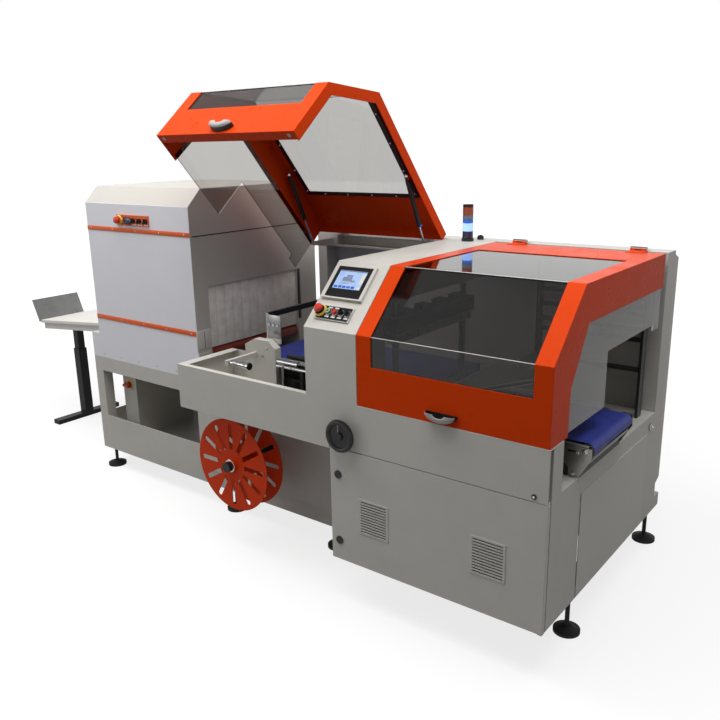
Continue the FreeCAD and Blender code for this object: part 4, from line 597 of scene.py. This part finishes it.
# %% Lathe helper
def opened(piece):
    """Opens one part alone in edit mode, with all of it selected."""
    only(piece)
    bpy.ops.object.mode_set(mode="EDIT")
    bpy.ops.mesh.select_all(action="SELECT")
    return piece


def closed(piece):
    """Turns every face outwards and leaves edit mode."""
    bpy.ops.mesh.select_all(action="SELECT")
    bpy.ops.mesh.normals_make_consistent(inside=False)
    bpy.ops.object.mode_set(mode="OBJECT")
    return piece


def lathe(profile, sides=24):
    """A turned part. The profile lists radius and height in millimetres, from the foot up."""
    radius, height = profile[0]
    bpy.ops.mesh.primitive_circle_add(vertices=sides, radius=radius * MM, fill_type="NGON",
                                      location=(0.0, 0.0, height * MM))
    piece = opened(settle(bpy.context.object))
    for new_radius, new_height in profile[1:]:
        rise = (0.0, 0.0, (new_height - height) * MM)
        bpy.ops.mesh.extrude_region_move(TRANSFORM_OT_translate={"value": rise})
        share = new_radius / radius
        bpy.ops.transform.resize(value=(share, share, 1.0), center_override=(0.0, 0.0, new_height * MM))
        radius, height = new_radius, new_height
    return closed(piece)


sampled("turned sample", lathe([(5, 0), (5, 2), (3, 3)]))

# %% [markdown]
# Folded strips and odd plates start as an outline. One vertex is extruded from corner
# to corner, the loop is closed and filled, and the face is extruded to its thickness.

# %% Outline helper
def chain(points):
    """A line of edges through the points, in millimetres, selected in edit mode."""
    bpy.ops.mesh.primitive_plane_add(size=MM)
    piece = opened(bpy.context.object)
    bpy.ops.mesh.merge(type="CENTER")
    bpy.ops.transform.translate(value=tuple(value * MM for value in points[0]))
    for start, end in zip(points, points[1:]):
        step = tuple((b - a) * MM for a, b in zip(start, end))
        bpy.ops.mesh.extrude_vertices_move(TRANSFORM_OT_translate={"value": step})
    bpy.ops.mesh.select_all(action="SELECT")
    return piece


def traced(outline, depth, edge=0.0):
    """A plate of any outline, drawn in local x and y and extruded along local z."""
    piece = chain([(x, y, 0.0) for x, y in outline])
    bpy.ops.mesh.edge_face_add()
    bpy.ops.mesh.extrude_region_move(TRANSFORM_OT_translate={"value": (0.0, 0.0, depth * MM)})
    closed(piece)
    return modified(piece, "BEVEL", width=edge * MM, segments=2) if edge else piece


sampled("traced sample", traced([(0, 0), (10, 0), (10, 4), (0, 6)], 2, 0.3))

# %% [markdown]
# A finished part is stood in its place: its local upwards direction is turned to face
# away from the surface that carries it. The open guard was drawn closed, so what sits
# on it is placed as if closed and then swung up about the hinge line.

# %% Placing helpers
FRONT, RIGHT_END, SLOPE = (90, 0, 0), (0, 90, 0), (45, 0, 0)
TOP, UNDER = (0, 0, 0), (180, 0, 0)
OPEN_ANGLE = -49.5
HINGE_LINE = at(0, 1092, 1394)
COLUMN_BEND = 1152
FOLDED, ROUND = 32.0, 40.0


def stand(piece, where, turn=TOP, spin=0.0):
    """Turns a part about its own axis, lays it on a surface and bakes its place."""
    tilt = Matrix.Rotation(math.radians(turn[0]), 4, "X") @ Matrix.Rotation(math.radians(turn[1]), 4, "Y")
    own = Matrix.Rotation(math.radians(spin), 4, "Z")
    piece.matrix_world = Matrix.Translation(where) @ tilt @ own
    return settle(piece)


def slabs(*rows):
    """Slabs in their places. A row has left, back, up, turn and then the slab's own sizes."""
    return [stand(slab(*sizes), at(left, back, up), turn) for left, back, up, turn, *sizes in rows]


def turnings(*rows):
    """Turned parts in their places. A row has left, back, up, turn, sides and the profile."""
    return [stand(lathe(profile, sides), at(left, back, up), turn)
            for left, back, up, turn, sides, *profile in rows]


def copies(piece, places, turn=TOP):
    """Stands one copy of a part, with a mesh of its own, at each place."""
    made = []
    for place in places:
        twin = piece.copy()
        twin.data = piece.data.copy()
        bpy.context.collection.objects.link(twin)
        made.append(stand(twin, place, turn))
    bpy.data.objects.remove(piece)
    return made


def joined(parts):
    only(parts[0])
    for part in parts:
        part.select_set(True)
    if len(parts) > 1:
        bpy.ops.object.join()
    return bpy.context.object


def done(parts, name, material, body="machine", angle=FOLDED, lift=0.0):
    """Joins parts of one finish into one named piece, which rides on a body."""
    piece = joined(parts if isinstance(parts, list) else [parts])
    piece.name = name
    piece.data.name = name
    give(piece, material)
    only(piece)
    bpy.ops.object.shade_smooth_by_angle(angle=math.radians(angle))
    if lift:
        turn = Matrix.Rotation(math.radians(lift), 4, "X")
        piece.matrix_world = Matrix.Translation(HINGE_LINE) @ turn @ Matrix.Translation(-HINGE_LINE)
        settle(piece)
    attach(piece, body)
    return piece


def screw(radius=4.5):
    """A button-head screw with a socket in its face."""
    r = radius
    return lathe([(r, 0), (r, 0.25 * r), (0.85 * r, 0.5 * r), (0.5 * r, 0.6 * r), (0.45 * r, 0.25 * r)], 14)


def slope_point(left, along, off=0.0):
    """A point on the sloping face of the column, so far up it and so far out of it."""
    r = math.sqrt(0.5)
    return at(left, (along - off) * r, COLUMN_BEND + (along + off) * r)


def circle(count, radius, height=0.0):
    """Angles in degrees, and places on a circle about the local axis."""
    for index in range(count):
        angle = math.tau * index / count
        spoke = Vector((math.cos(angle), math.sin(angle), 0)) * radius * MM
        yield math.degrees(angle), spoke + Vector((0, 0, height * MM))


print("Slope starts at", corners([slope_point(932, 0)]))

# %% [markdown]
# Each guard is a folded orange sheet with smoked panes behind its windows. On the real
# machine, dark clamp strips with small screws hold the panes from inside, and two pale
# bumpers sit under the lip. The strips follow the guard's own section, so they are
# traced from it. The pane's polished edge shines along the bends, and thin pale strips
# on the upper and lower bend are a painted highlight for that shine.

# %% Guard trims
GUARDS = {"infeed": (3, 0.0), "sealing": (1051, OPEN_ANGLE)}
GUARD_WIDTH, WINDOW_SIDE, WINDOW_LOW, WINDOW_REAR = 785, 66, 1036, 800
BEND_LEVEL, SLOPE_RUN, TOP_LEVEL, HALF_BEND = 1152, 231, 1383, 0.414
CLAMP_WIDTH, CLAMP_OUTER, CLAMP_INNER, LAP = 24, 8.2, 11.2, 6
WINDOW = GUARD_WIDTH - 2 * WINDOW_SIDE
clamp_dark = paint("clamp_strip", (0.030, 0.010, 0.008), gloss=0.45, drift=0.2, dust=0.0, wear=0.1,
                   radius=0.0008)
# A pale coated strip, used as a painted highlight along bends and edges.
edge_highlight_paint = plastic("pane_edge_painted_highlight", (0.62, 0.62, 0.60), rough=0.25, clear_coat=0.5)


def section(near, far, foot, rear):
    """The guard's section between two depths, as depth and level, from foot to rear."""
    inner, outer = ([(deep, foot), (deep, BEND_LEVEL - HALF_BEND * deep),
                     (SLOPE_RUN + HALF_BEND * deep, TOP_LEVEL - deep), (rear, TOP_LEVEL - deep)]
                    for deep in (near, far))
    return inner + outer[::-1]


def along_guard(outline, left, width):
    """Extrudes an outline of depths and levels across the guard, from a left edge rightwards."""
    piece = traced(outline, width)
    turn = Matrix(((0, 0, 1, 0), (1, 0, 0, 0), (0, 1, 0, 0), (0, 0, 0, 1)))
    piece.matrix_world = Matrix.Translation(at(left, 0, 0)) @ turn
    return settle(piece)


clamp_line = section(CLAMP_OUTER, CLAMP_INNER, WINDOW_LOW - 18, WINDOW_REAR + 16)
for guard, (right_edge, lift_angle) in GUARDS.items():
    left_edge = right_edge + GUARD_WIDTH
    middle = left_edge - GUARD_WIDTH / 2
    clamps = [along_guard(clamp_line, left, CLAMP_WIDTH)
              for left in (left_edge - WINDOW_SIDE + CLAMP_WIDTH - LAP, right_edge + WINDOW_SIDE + LAP)]
    clamps += slabs((middle, WINDOW_REAR + LAP, TOP_LEVEL - CLAMP_OUTER, UNDER, WINDOW, CLAMP_WIDTH, 3))
    spots = [at(side, back, TOP_LEVEL - 11)
             for side in (left_edge - WINDOW_SIDE + LAP, right_edge + WINDOW_SIDE - LAP)
             for back in (330, 490, 650, 790)]
    spots += [at(middle + offset, WINDOW_REAR + 8, TOP_LEVEL - 11) for offset in (-220, -75, 75, 220)]
    heads = copies(screw(5.0), spots, UNDER)
    # Pale strips on the upper and lower bend of the window: painted highlights.
    lines = slabs((middle, 233, 1380.2, TOP, WINDOW - 1, 7, 2.4),
                  (middle, 2.6, 1151, (22, 0, 0), WINDOW - 1, 3, 1.6, 0.5))
    bumpers = copies(lathe([(9, 0), (9, 0.15), (8.4, 0.25)], 20),
                     [at(left_edge - 34, 20, 875.28), at(right_edge + 34, 20, 875.28)], UNDER)
    for parts, name, material, slot in ((clamps, "pane_clamps", clamp_dark, "black_plastic"),
                                        (heads, "clamp_screws", bright_steel, "steel"),
                                        (lines, "pane_edge_highlights", edge_highlight_paint, "glazing"),
                                        (bumpers, "lip_bumpers", light_plastic, "aluminium")):
        done(parts, guard + "_" + name, material, guard + "_guard", lift=lift_angle)

# %% [markdown]
# The pulls on the guards are half-moon cups: a broad pale moulding in front, a black
# wall and a black inside. A short profile is spun half a turn about the axis that points
# at the operator, and then flattened, because the real cup is wide and low.

# %% Cup handles
CUP_STEPS, CUP_FLATNESS, CUP_SHEET, CUP_LEVEL = 24, 0.52, 1.8, 919
CUP_FACE = [(62, 20), (58, 26), (50, 29.5), (38, 31), (26, 31), (23, 29)]
CUP_WALL = [(64, 0), (64, 12), (62, 20)]
CUP_GROUND = [(0.5, 2.4), (62, 2.4)]


def cup(rings):
    """Half a turning of radius and height, flattened downwards, with a wall's thickness."""
    piece = chain([(radius, 0.0, height) for radius, height in rings])
    bpy.ops.mesh.spin(steps=CUP_STEPS, angle=math.pi, center=(0.0, 0.0, 0.0), axis=(0.0, 0.0, 1.0))
    bpy.ops.mesh.select_all(action="SELECT")
    bpy.ops.mesh.remove_doubles(threshold=0.00001)
    closed(piece)
    lowest = min(v.co.y for v in piece.data.vertices)
    side = -1.0 if abs(lowest) < MM else 1.0
    piece.scale = (1.0, CUP_FLATNESS * side, 1.0)
    closed(opened(settle(piece)))
    return modified(piece, "SOLIDIFY", thickness=CUP_SHEET * MM, offset=-1.0)


for guard, (right_edge, lift_angle) in GUARDS.items():
    middle = right_edge + GUARD_WIDTH / 2 + 15
    face, wall, ground = (stand(cup(rings), at(middle, 0, CUP_LEVEL), FRONT)
                          for rings in (CUP_FACE, CUP_WALL, CUP_GROUND))
    cover = done(face, guard + "_pull_face", light_plastic, guard + "_guard", angle=ROUND, lift=lift_angle)
    done([wall, ground], guard + "_pull_wall", black_plastic, guard + "_guard", angle=ROUND, lift=lift_angle)
    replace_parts(cover, guard + "_hood_handle")

# %% [markdown]
# The hinges are plated steel, while the CAD leaves took the colour of the guard they
# are folded from. Thin plated sleeves go over the three knuckles of each hinge. The
# outer two turn with the guard and the middle one stays on the rear beam.

# %% Hinge sleeves
HINGE_LENGTH = 70
THIRD = HINGE_LENGTH / 3
SLEEVE = [(6.4, 0), (7.5, 0.4), (7.5, THIRD - 0.6 - 0.4), (6.4, THIRD - 0.6), (3.2, THIRD - 0.6 - 0.2)]
MOVING = (0.5, -0.5 + THIRD / HINGE_LENGTH)
FIXED = (0.5 - THIRD / HINGE_LENGTH,)
for guard, (right_edge, lift_angle) in GUARDS.items():
    for kind, body, offsets in (("moving", guard + "_guard", MOVING), ("fixed", "machine", FIXED)):
        spots = [at(middle + HINGE_LENGTH * offset - 0.3, 1092, 1394)
                 for middle in (right_edge + 120, right_edge + GUARD_WIDTH - 120) for offset in offsets]
        sleeves = copies(lathe(SLEEVE, 20), spots, RIGHT_END)
        done(sleeves, guard + "_hinge_" + kind, bright_steel, body, ROUND)

# %% [markdown]
# The sloping panel of the column holds a touch screen and a black plate of buttons.
# The screen shows a plain page of its own: a pale blue field, a grey shape, a pale
# side bar and a row of keys. Each is a thin plate laid on the glass, so that it keeps
# crisp edges at any distance.

# %% Touch screen page
SCREEN_MIDDLE, GLASS_FACE = 932.5, 13.0
PAGE_WIDTH, PAGE_HEIGHT, PAGE_LOW = 134, 88, 186
PAGE = [
    ("screen_page", "screen_field", (0.30, 0.42, 0.66), 0.42,
     [(PAGE_WIDTH, PAGE_HEIGHT, 0, PAGE_HEIGHT / 2)]),
    ("screen_shapes", "screen_shape", (0.16, 0.19, 0.27), 0.3,
     [(46, 20, -14, 46), (30, 10, -8, 62), (18, 8, 18, 38), (60, 2, -12, 30), (44, 2, -20, 25),
      (PAGE_WIDTH, 5, 0, PAGE_HEIGHT - 3)]),
    ("screen_keys", "screen_keys", (0.03, 0.10, 0.42), 0.4,
     [(17, 11, -54 + 21 * index, 9) for index in range(5)]),
    ("screen_bars", "screen_bar", (0.55, 0.53, 0.42), 0.35, [(16, 50, 57, 52), (16, 11, 57, 9)]),
]
for name, finish, colour, glow, patches in PAGE:
    material = plastic(finish, colour, rough=0.3, depth=0.0, glow=glow)
    height = GLASS_FACE + (0.0 if name == "screen_page" else 0.2)
    done([stand(slab(wide, high, 0.25, 0.08, 1),
                slope_point(SCREEN_MIDDLE - aside, PAGE_LOW + above, height), SLOPE)
          for wide, high, aside, above in patches], name, material)
print("Screen page is", PAGE_WIDTH, "by", PAGE_HEIGHT, "mm")

# %% [markdown]
# Each button sits in a plated ring, over a small blank label plate. The emergency
# stops are turned red mushrooms with grip ribs round the rim, each standing in a
# yellow ring. They are lathe parts again, alike at both panels.

# %% Buttons, rings and stops
PLATE_FACE, BUTTON_LINE = 10.0, 76
BUTTONS = [956, 925, 894, 863]


def on_plate(piece, lefts, above=0):
    return copies(piece, [slope_point(left, BUTTON_LINE + above, PLATE_FACE) for left in lefts], SLOPE)


ring = lathe([(11.6, 0), (14.8, 0), (14.8, 1.6), (13.8, 2.6), (12.2, 2.8), (11.6, 2.0)], 28)
done(on_plate(ring, BUTTONS), "button_rings", bright_steel, angle=ROUND)
labels = on_plate(slab(20, 7, 0.5, 0.2), BUTTONS, -21) + on_plate(slab(20, 5, 0.5, 0.2), BUTTONS[:2], 20)
done(labels, "button_labels", lens_white)
for name, material, left in (("start_button", lens_white, BUTTONS[0]),
                             ("stop_button", black_plastic, BUTTONS[1])):
    cap = lathe([(10.4, 0), (10.4, 2.6), (9.6, 3.6), (7.5, 4.0), (6.8, 3.5), (2, 3.6)], 26)
    done(stand(cap, slope_point(left, BUTTON_LINE, 17.6), SLOPE), name + "_cap", material, name, angle=ROUND)
for name, left in (("mode_selector", BUTTONS[2]), ("speed_selector", BUTTONS[3])):
    mark = stand(slab(1.6, 12, 0.6, 0.2), slope_point(left, BUTTON_LINE + 4, 27.0), SLOPE)
    done(mark, name + "_mark", lens_white, name)

MUSHROOM = [(8.6, 8.4), (8.6, 16.2), (15.5, 16.6), (17.6, 17.6), (18, 19.4), (18, 25), (17.2, 28), (14.5, 31),
            (10, 33), (5, 33.8), (1, 34)]
STOP_RING = [(21.4, 0.2), (26.5, 0.2), (26.5, 3.0), (24.5, 4.0), (22.6, 8.6), (21.4, 9.2)]
for name, place, turn in (("emergency_stop", slope_point(996, BUTTON_LINE, PLATE_FACE), SLOPE),
                          ("tunnel_stop", at(2599, 306, 1474), FRONT)):
    head = lathe(MUSHROOM, 36)
    ribs = [stand(slab(2.2, 1.4, 8, 0.5), spot, TOP, angle) for angle, spot in circle(12, 17.8, 18)]
    piece = done(stand(joined([head] + ribs), place, turn), name + "_mushroom", stop_red, name,
                 ROUND)
    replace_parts(piece, name)
    done(stand(lathe(STOP_RING, 32), place, turn), name + "_ring", ring_yellow, angle=ROUND)
print("Buttons:", len(BUTTONS), "and two stops")

# %% [markdown]
# The handwheel's face carries a plated centre cap with a bolt and a thin index line.
# The scrap reel is clamped by a lobed black knob on a steel washer. Its lobes are
# small turned bars set round a turned hub and joined to it.

# %% Handwheel centre and reel knob
cap = turnings((852, -41.2, 747, FRONT, 28, (13, 0), (13, 1.6), (11.5, 3.0), (6.5, 3.4), (6.0, 5.6),
                (5.0, 6.4), (3.2, 6.4), (3.0, 4.0)))
done(cap, "handwheel_cap", bright_steel, "handwheel", ROUND)
done(slabs((852, -44.4, 780, FRONT, 1.6, 30, 0.8, 0.3)), "handwheel_line", lens_white, "handwheel")
hub = lathe([(15, 0), (17, 2), (17, 16), (14, 19), (9, 20)], 28)
lobes = [stand(lathe([(7, 1), (8.4, 3), (8.4, 15), (6.5, 18)], 18), spot) for _, spot in circle(6, 15.5)]
knob = stand(joined([hub] + lobes), at(1567, 34, 421), FRONT)
done(knob, "reel_knob", black_plastic, "scrap_reel", angle=ROUND)
washer = turnings((1567, 36.4, 421, FRONT, 40, (30, 0), (30, 1.5), (28.5, 2.4), (18, 2.4)))
done(washer, "reel_washer", bright_steel, "scrap_reel")
print("Reel knob from", corners((Vector(knob.bound_box[0]), Vector(knob.bound_box[6]))))

# %% [markdown]
# The tower light is a stack of lenses on a dark foot. Each lens is one turned ring
# with a groove above and below it, and the blue one is lit.

# %% Tower light
lens_amber = plastic("lens_amber", (0.30, 0.055, 0.020), rough=0.22, clear_coat=0.6)
lens_grey = plastic("lens_grey", (0.13, 0.19, 0.21), rough=0.22, clear_coat=0.6)
lens_dark = plastic("lens_dark_blue", (0.006, 0.008, 0.045), rough=0.22, clear_coat=0.6)
TOWER = [("foot", black_plastic, 1383.2, 1397, 29), ("dark_lens", lens_dark, 1397, 1430, 25),
         ("lit_lens", lamp_lit, 1430, 1468, 25), ("blue_lens", lamp_blue, 1468, 1485, 25),
         ("grey_lens", lens_grey, 1485, 1506, 25), ("amber_lens", lens_amber, 1506, 1543, 25),
         ("cap", black_plastic, 1543, 1555, 25)]
for name, material, low, high, radius in TOWER:
    height = high - low
    rings = turnings((919.5, 1045, low, TOP, 36, (radius - 2, 0), (radius, 1.2), (radius, height - 1.2),
                      (radius - 2, height)))
    slot = "lamp" if "lens" in name else "black_plastic"
    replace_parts(done(rings, "tower_" + name, material, "machine", ROUND), "tower_light")
print("Tower light:", len(TOWER), "rings")

# %% [markdown]
# The tunnel is one grey hood with a white front door. Orange strips are screwed on
# across the door, and an orange plate carries its controls: a black display, three
# knobs and a stop. The curtain is cut in strips, as real ones are.

# %% Tunnel dress
TUNNEL_MIDDLE, TUNNEL_RIGHT, TUNNEL_LENGTH = 2477, 2053, 848
STRIPE_LEVELS = ((1421.5, 23), (922, 26))
stripes, heads = [], []
for level, height in STRIPE_LEVELS:
    stripes += slabs((TUNNEL_MIDDLE, 310, level, FRONT, TUNNEL_LENGTH, height, 2.4, 0.9))
    heads += copies(screw(4.5), [at(TUNNEL_RIGHT + 40 + 192 * index, 307.7, level) for index in range(5)],
                    FRONT)
done(stripes, "tunnel_stripes", stripe_orange)
heads += copies(screw(4.0), [at(TUNNEL_RIGHT + 30 + 157.6 * index, 310, 700) for index in range(6)], FRONT)
done(heads, "tunnel_screws", bright_steel, "machine", ROUND)
plates = slabs((2527, 298.4, 1474, FRONT, 56, 40, 2.0, 0.8), (2599, 306, 1474, FRONT, 46, 46, 1.6, 2.0, 3))
done(plates, "tunnel_display", black_plastic)
done(slabs((2527, 296.4, 1474, FRONT, 44, 26, 0.5, 0.3)), "tunnel_display_glass", lens_dark)
KNOBS = {"left": 2480, "middle": 2430, "right": 2380}
for name, left in KNOBS.items():
    rib = slabs((left, 284.2, 1479, FRONT, 1.8, 11, 0.8, 0.3))
    done(rib, "tunnel_knob_mark_" + name, lens_white, name + "_knob")
plates = copies(slab(34, 5, 0.5, 0.2), [at(left, 306, 1453) for left in KNOBS.values()], FRONT)
done(plates, "tunnel_knob_labels", lens_white)

CURTAIN_FRONT, CURTAIN_REAR, CURTAIN_LOW, CURTAIN_TOP = 403.4, 1071.6, 832.2, 1152.6
STRIPS = 11
pitch = (CURTAIN_REAR - CURTAIN_FRONT) / STRIPS
flaps = slabs(*((2064.8, CURTAIN_FRONT + pitch * (index + 0.5), (CURTAIN_LOW + CURTAIN_TOP) / 2, (90, 90, 0),
                 pitch - 1.2, CURTAIN_TOP - CURTAIN_LOW, 1.5, 0.3) for index in range(STRIPS)))
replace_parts(done(flaps, "curtain_strips", curtain_beige, "entry_curtain"), "entry_curtain")
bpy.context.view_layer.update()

# %% [markdown]
# The infeed conveyor ends in a zinc-plated cheek with a slotted hole, two bolts and the
# roller's axle nut. A pale bar runs under the roller. The bed behind is painted dark,
# as painted shade for the gap under the conveyor. The cheek's outline tapers down to a
# narrow foot.

# %% Infeed end
zinc = metal("zinc_plate", (0.42, 0.41, 0.385), 0.42, (260.0, 260.0, 260.0), depth=0.06)
CHEEK_FRONT = 245
CHEEK = [(-60, 806), (44, 806), (45, 768), (3, 696), (1, 672), (-38, 669), (-38, 722), (-60, 740)]
parts = [stand(traced(CHEEK, 3, 0.6), at(0, 248, 0), FRONT)] + slabs((14, 248, 812, FRONT, 92, 9, 4, 1.6, 3))
done(parts, "infeed_cheek", zinc)
done(slabs((25, CHEEK_FRONT, 786, FRONT, 34, 7, 0.6, 0.2)), "infeed_cheek_slot", satin_black)
bolts = [stand(screw(6.5), at(6, CHEEK_FRONT, 784), FRONT),
         stand(screw(7.5), at(19, CHEEK_FRONT, 701), FRONT)]
bolts += turnings((-21, CHEEK_FRONT, 793, FRONT, 6, (12.5, 0), (12.5, 1.5), (8.5, 2), (8.5, 8), (6.5, 9),
                   (6.5, 11), (5, 12)))
done(bolts, "infeed_bolts", bright_steel)
done(slabs((-31, 452, 754, RIGHT_END, 12, 400, 3, 0.8)), "infeed_under_bar", light_plastic)
print("Cheek outline has", len(CHEEK), "corners")

# %% [markdown]
# The rear post has a plated quarter-turn catch on a black ring, and the apron a small
# barrel lock. A thin pale strip along the apron's folded top edge under the guard is a
# painted highlight.

# %% Catch and lock
CATCH, LOCK = (0, 1041, 637, RIGHT_END), (51, 0, 698, FRONT)
rings = turnings((*CATCH, 28, (17, 0), (17, 1.2), (14.5, 2.0)),
                 (*LOCK, 24, (9.5, 0), (9.5, 2.4), (8, 3.4), (5, 3.2)))
done(rings, "catch_rings", black_plastic, angle=ROUND)
knobs = turnings((*CATCH, 28, (13, 1.8), (13, 4), (10, 5.5), (8.6, 5.6), (8.6, 10), (7, 11.5), (3, 11.5)))
knobs += slabs((-10, 1041, 637, RIGHT_END, 5, 17, 6, 1.4, 3))
knobs += turnings((*LOCK, 16, (4.4, 3), (4.4, 4.6), (3.6, 5)))
done(knobs, "catch_knobs", chrome, "machine", ROUND)
# The pale strip along the apron's top edge is a painted highlight.
edge_line = slabs((395.5, 0.2, 871.6, FRONT, 784, 2.4, 0.8, 0.3))
done(edge_line, "apron_painted_highlight_line", edge_highlight_paint)
print("Catch at", corners([at(*CATCH[:3])]))

# %% [markdown]
# The trough at the left of the column is a folded tray with a broad rim. In it stand
# the film guide, chrome shafts with ringed ends and a dark lining. A plated bracket
# with three hexagon bolts is screwed to the guide's upper plate. Its steel is set darker
# than plated steel, as painted shade for the dim reflections it shows.

# %% Trough fittings
# The bracket's steel is darker than plated steel: painted shade for its dim reflections.
bracket_steel_painted_shade = metal("bracket_steel_painted_shade", (0.36, 0.36, 0.365), 0.20, (9.0, 500.0, 500.0), depth=0.08)
rims = slabs((1443.5, 6.5, 872.6, TOP, 785, 13, 1.6, 0.6), (1816, 178, 872.6, TOP, 46, 330, 1.6, 0.6))
done(rims, "trough_rim", panel_grey)
lining = slabs(
    (1272, 343, 778, FRONT, 436, 160, 1.5, 0.5), (1272, 176, 694, TOP, 436, 320, 1.5, 0.5),
    (1490, 322, 838, RIGHT_END, 9, 22, 420, 1.5), (1490, 322, 790, RIGHT_END, 9, 22, 420, 1.5),
    *((left, 300, 700, TOP, 20, 26, 150, 2.0) for left in (1462, 1330, 1210)),
    (1420, 358, 820, TOP, 90, 22, 56, 3.0), (1300, 356, 824, TOP, 60, 18, 84, 3.0),
    (1190, 360, 820, TOP, 110, 22, 60, 3.0), (1470, 356, 888, RIGHT_END, 14, 26, 380, 2.0))
done(lining, "trough_lining", satin_black)
shafts = turnings(
    (1505, 318, 866, RIGHT_END, 28, (12, 0), (12, 122), (15, 122.5), (15, 130), (11, 132)),
    (1490, 296, 852, RIGHT_END, 22, (7, 0), (7, 300), (5, 301)),
    (1455, 352, 838, RIGHT_END, 22, (11, 0), (11, 60), (7, 64), (7, 80), (10, 82), (10, 90)),
    (1352, 352, 846, TOP, 20, (8, 0), (8, 46), (5, 50), (5, 62)),
    (1420, 262, 716, TOP, 20, (6, 0), (6, 150), (4, 151)),
    (1270, 262, 716, TOP, 20, (6, 0), (6, 150), (4, 151)))
done(shafts, "trough_shafts", chrome, "machine", ROUND)
sleeve = turnings((1600, 133, 884, RIGHT_END, 28, (12, 0), (12.6, 1), (12.6, 92), (12, 93)))
done(sleeve, "trim_roller_sleeve", chrome, "trim_roller", ROUND)
ring = turnings((1504, 133, 884, RIGHT_END, 32, (16.4, 0), (16.4, 4), (14.5, 5.2), (11.5, 5.2), (10.8, 3.2),
                 (6, 3.2), (5.2, 5.4), (3, 5.6)))
done(ring, "trim_roller_ring", black_plastic, "trim_roller", angle=ROUND)
done(slabs((1549, 352, 1018, FRONT, 84, 112, 2, 0.6)), "guide_plate", bracket_steel_painted_shade)
hexagon = lathe([(7.5, 0), (7.5, 4.4), (6.4, 5.2)], 6)
heads = copies(hexagon, [at(left, 350, 1027) for left in (1578, 1551, 1524)], FRONT)
heads += [stand(screw(6.5), at(left, 303, up), FRONT) for left, up in ((1556, 922), (1585, 880))]
done(heads, "guide_bolts", bright_steel)

# %% [markdown]
# Each gas strut ends in a plated ball stud on the guard, and a blue collar marks the
# right one of the open pair. The collar takes the lamp blue, which glows a little, so
# it glows though it is no lamp: painted light.

# %% Strut ends
BALL = [(4, -10), (8, -8), (10.5, -3), (10.5, 3), (8, 8), (4, 10)]
STRUTS = {"infeed": (35, 756, 657.6, 1345.5), "sealing": (1083, 1804, 773, 1693)}
for guard, (near, far, back, up) in STRUTS.items():
    studs = copies(lathe(BALL, 28), [at(near, back, up), at(far, back, up)], RIGHT_END)
    done(studs, guard + "_strut_studs", bright_steel, guard + "_tubes", ROUND)
# The collar uses the glowing lamp blue, so it glows faintly though it is no lamp: painted light.
collar = turnings((1083, 878.6, 1468, (205.2, 0, 0), 28, (9.6, 0), (10.6, 0.6), (10.6, 8), (9.6, 8.6)))
done(collar, "sealing_strut_collar", lamp_blue, "sealing_tubes", angle=ROUND)
print("Struts:", list(STRUTS))

# %% [markdown]
# The tunnel's hood is split by a dark seam that runs back along its side. Beside the
# curtain stand a dark rail and, at the front corner, a folded plate with a slot.

# %% Tunnel side
lines = slabs((TUNNEL_RIGHT, 772, 1412, RIGHT_END, 5, 900, 0.6, 0.2),
              (TUNNEL_RIGHT, 1087, 1010, RIGHT_END, 290, 18, 6, 1.2),
              (TUNNEL_RIGHT - 4, 356, 884, RIGHT_END, 84, 3, 0.5, 0.2))
done(lines, "tunnel_side_lines", satin_black)
plate = slabs((TUNNEL_RIGHT, 352, 888, RIGHT_END, 98, 92, 4, 1.2))
done(plate, "tunnel_corner_plate", panel_grey)
print("Seam from", corners([at(TUNNEL_RIGHT, 322, 1412)]))

# %% [markdown]
# Last come a black half-round cap beside the tower light and the yellow plate behind
# the main switch.

# %% Caps and plates
cap = turnings((896, 1128, 1383.2, TOP, 28, (15, 0), (16, 2), (16, 12), (13, 18), (7, 21), (2, 22)))
done(cap, "beam_cap", black_plastic, angle=ROUND)
done(slabs((2790, 400, 505, FRONT, 54, 54, 1.4, 0.6)), "switch_plate", ring_yellow)
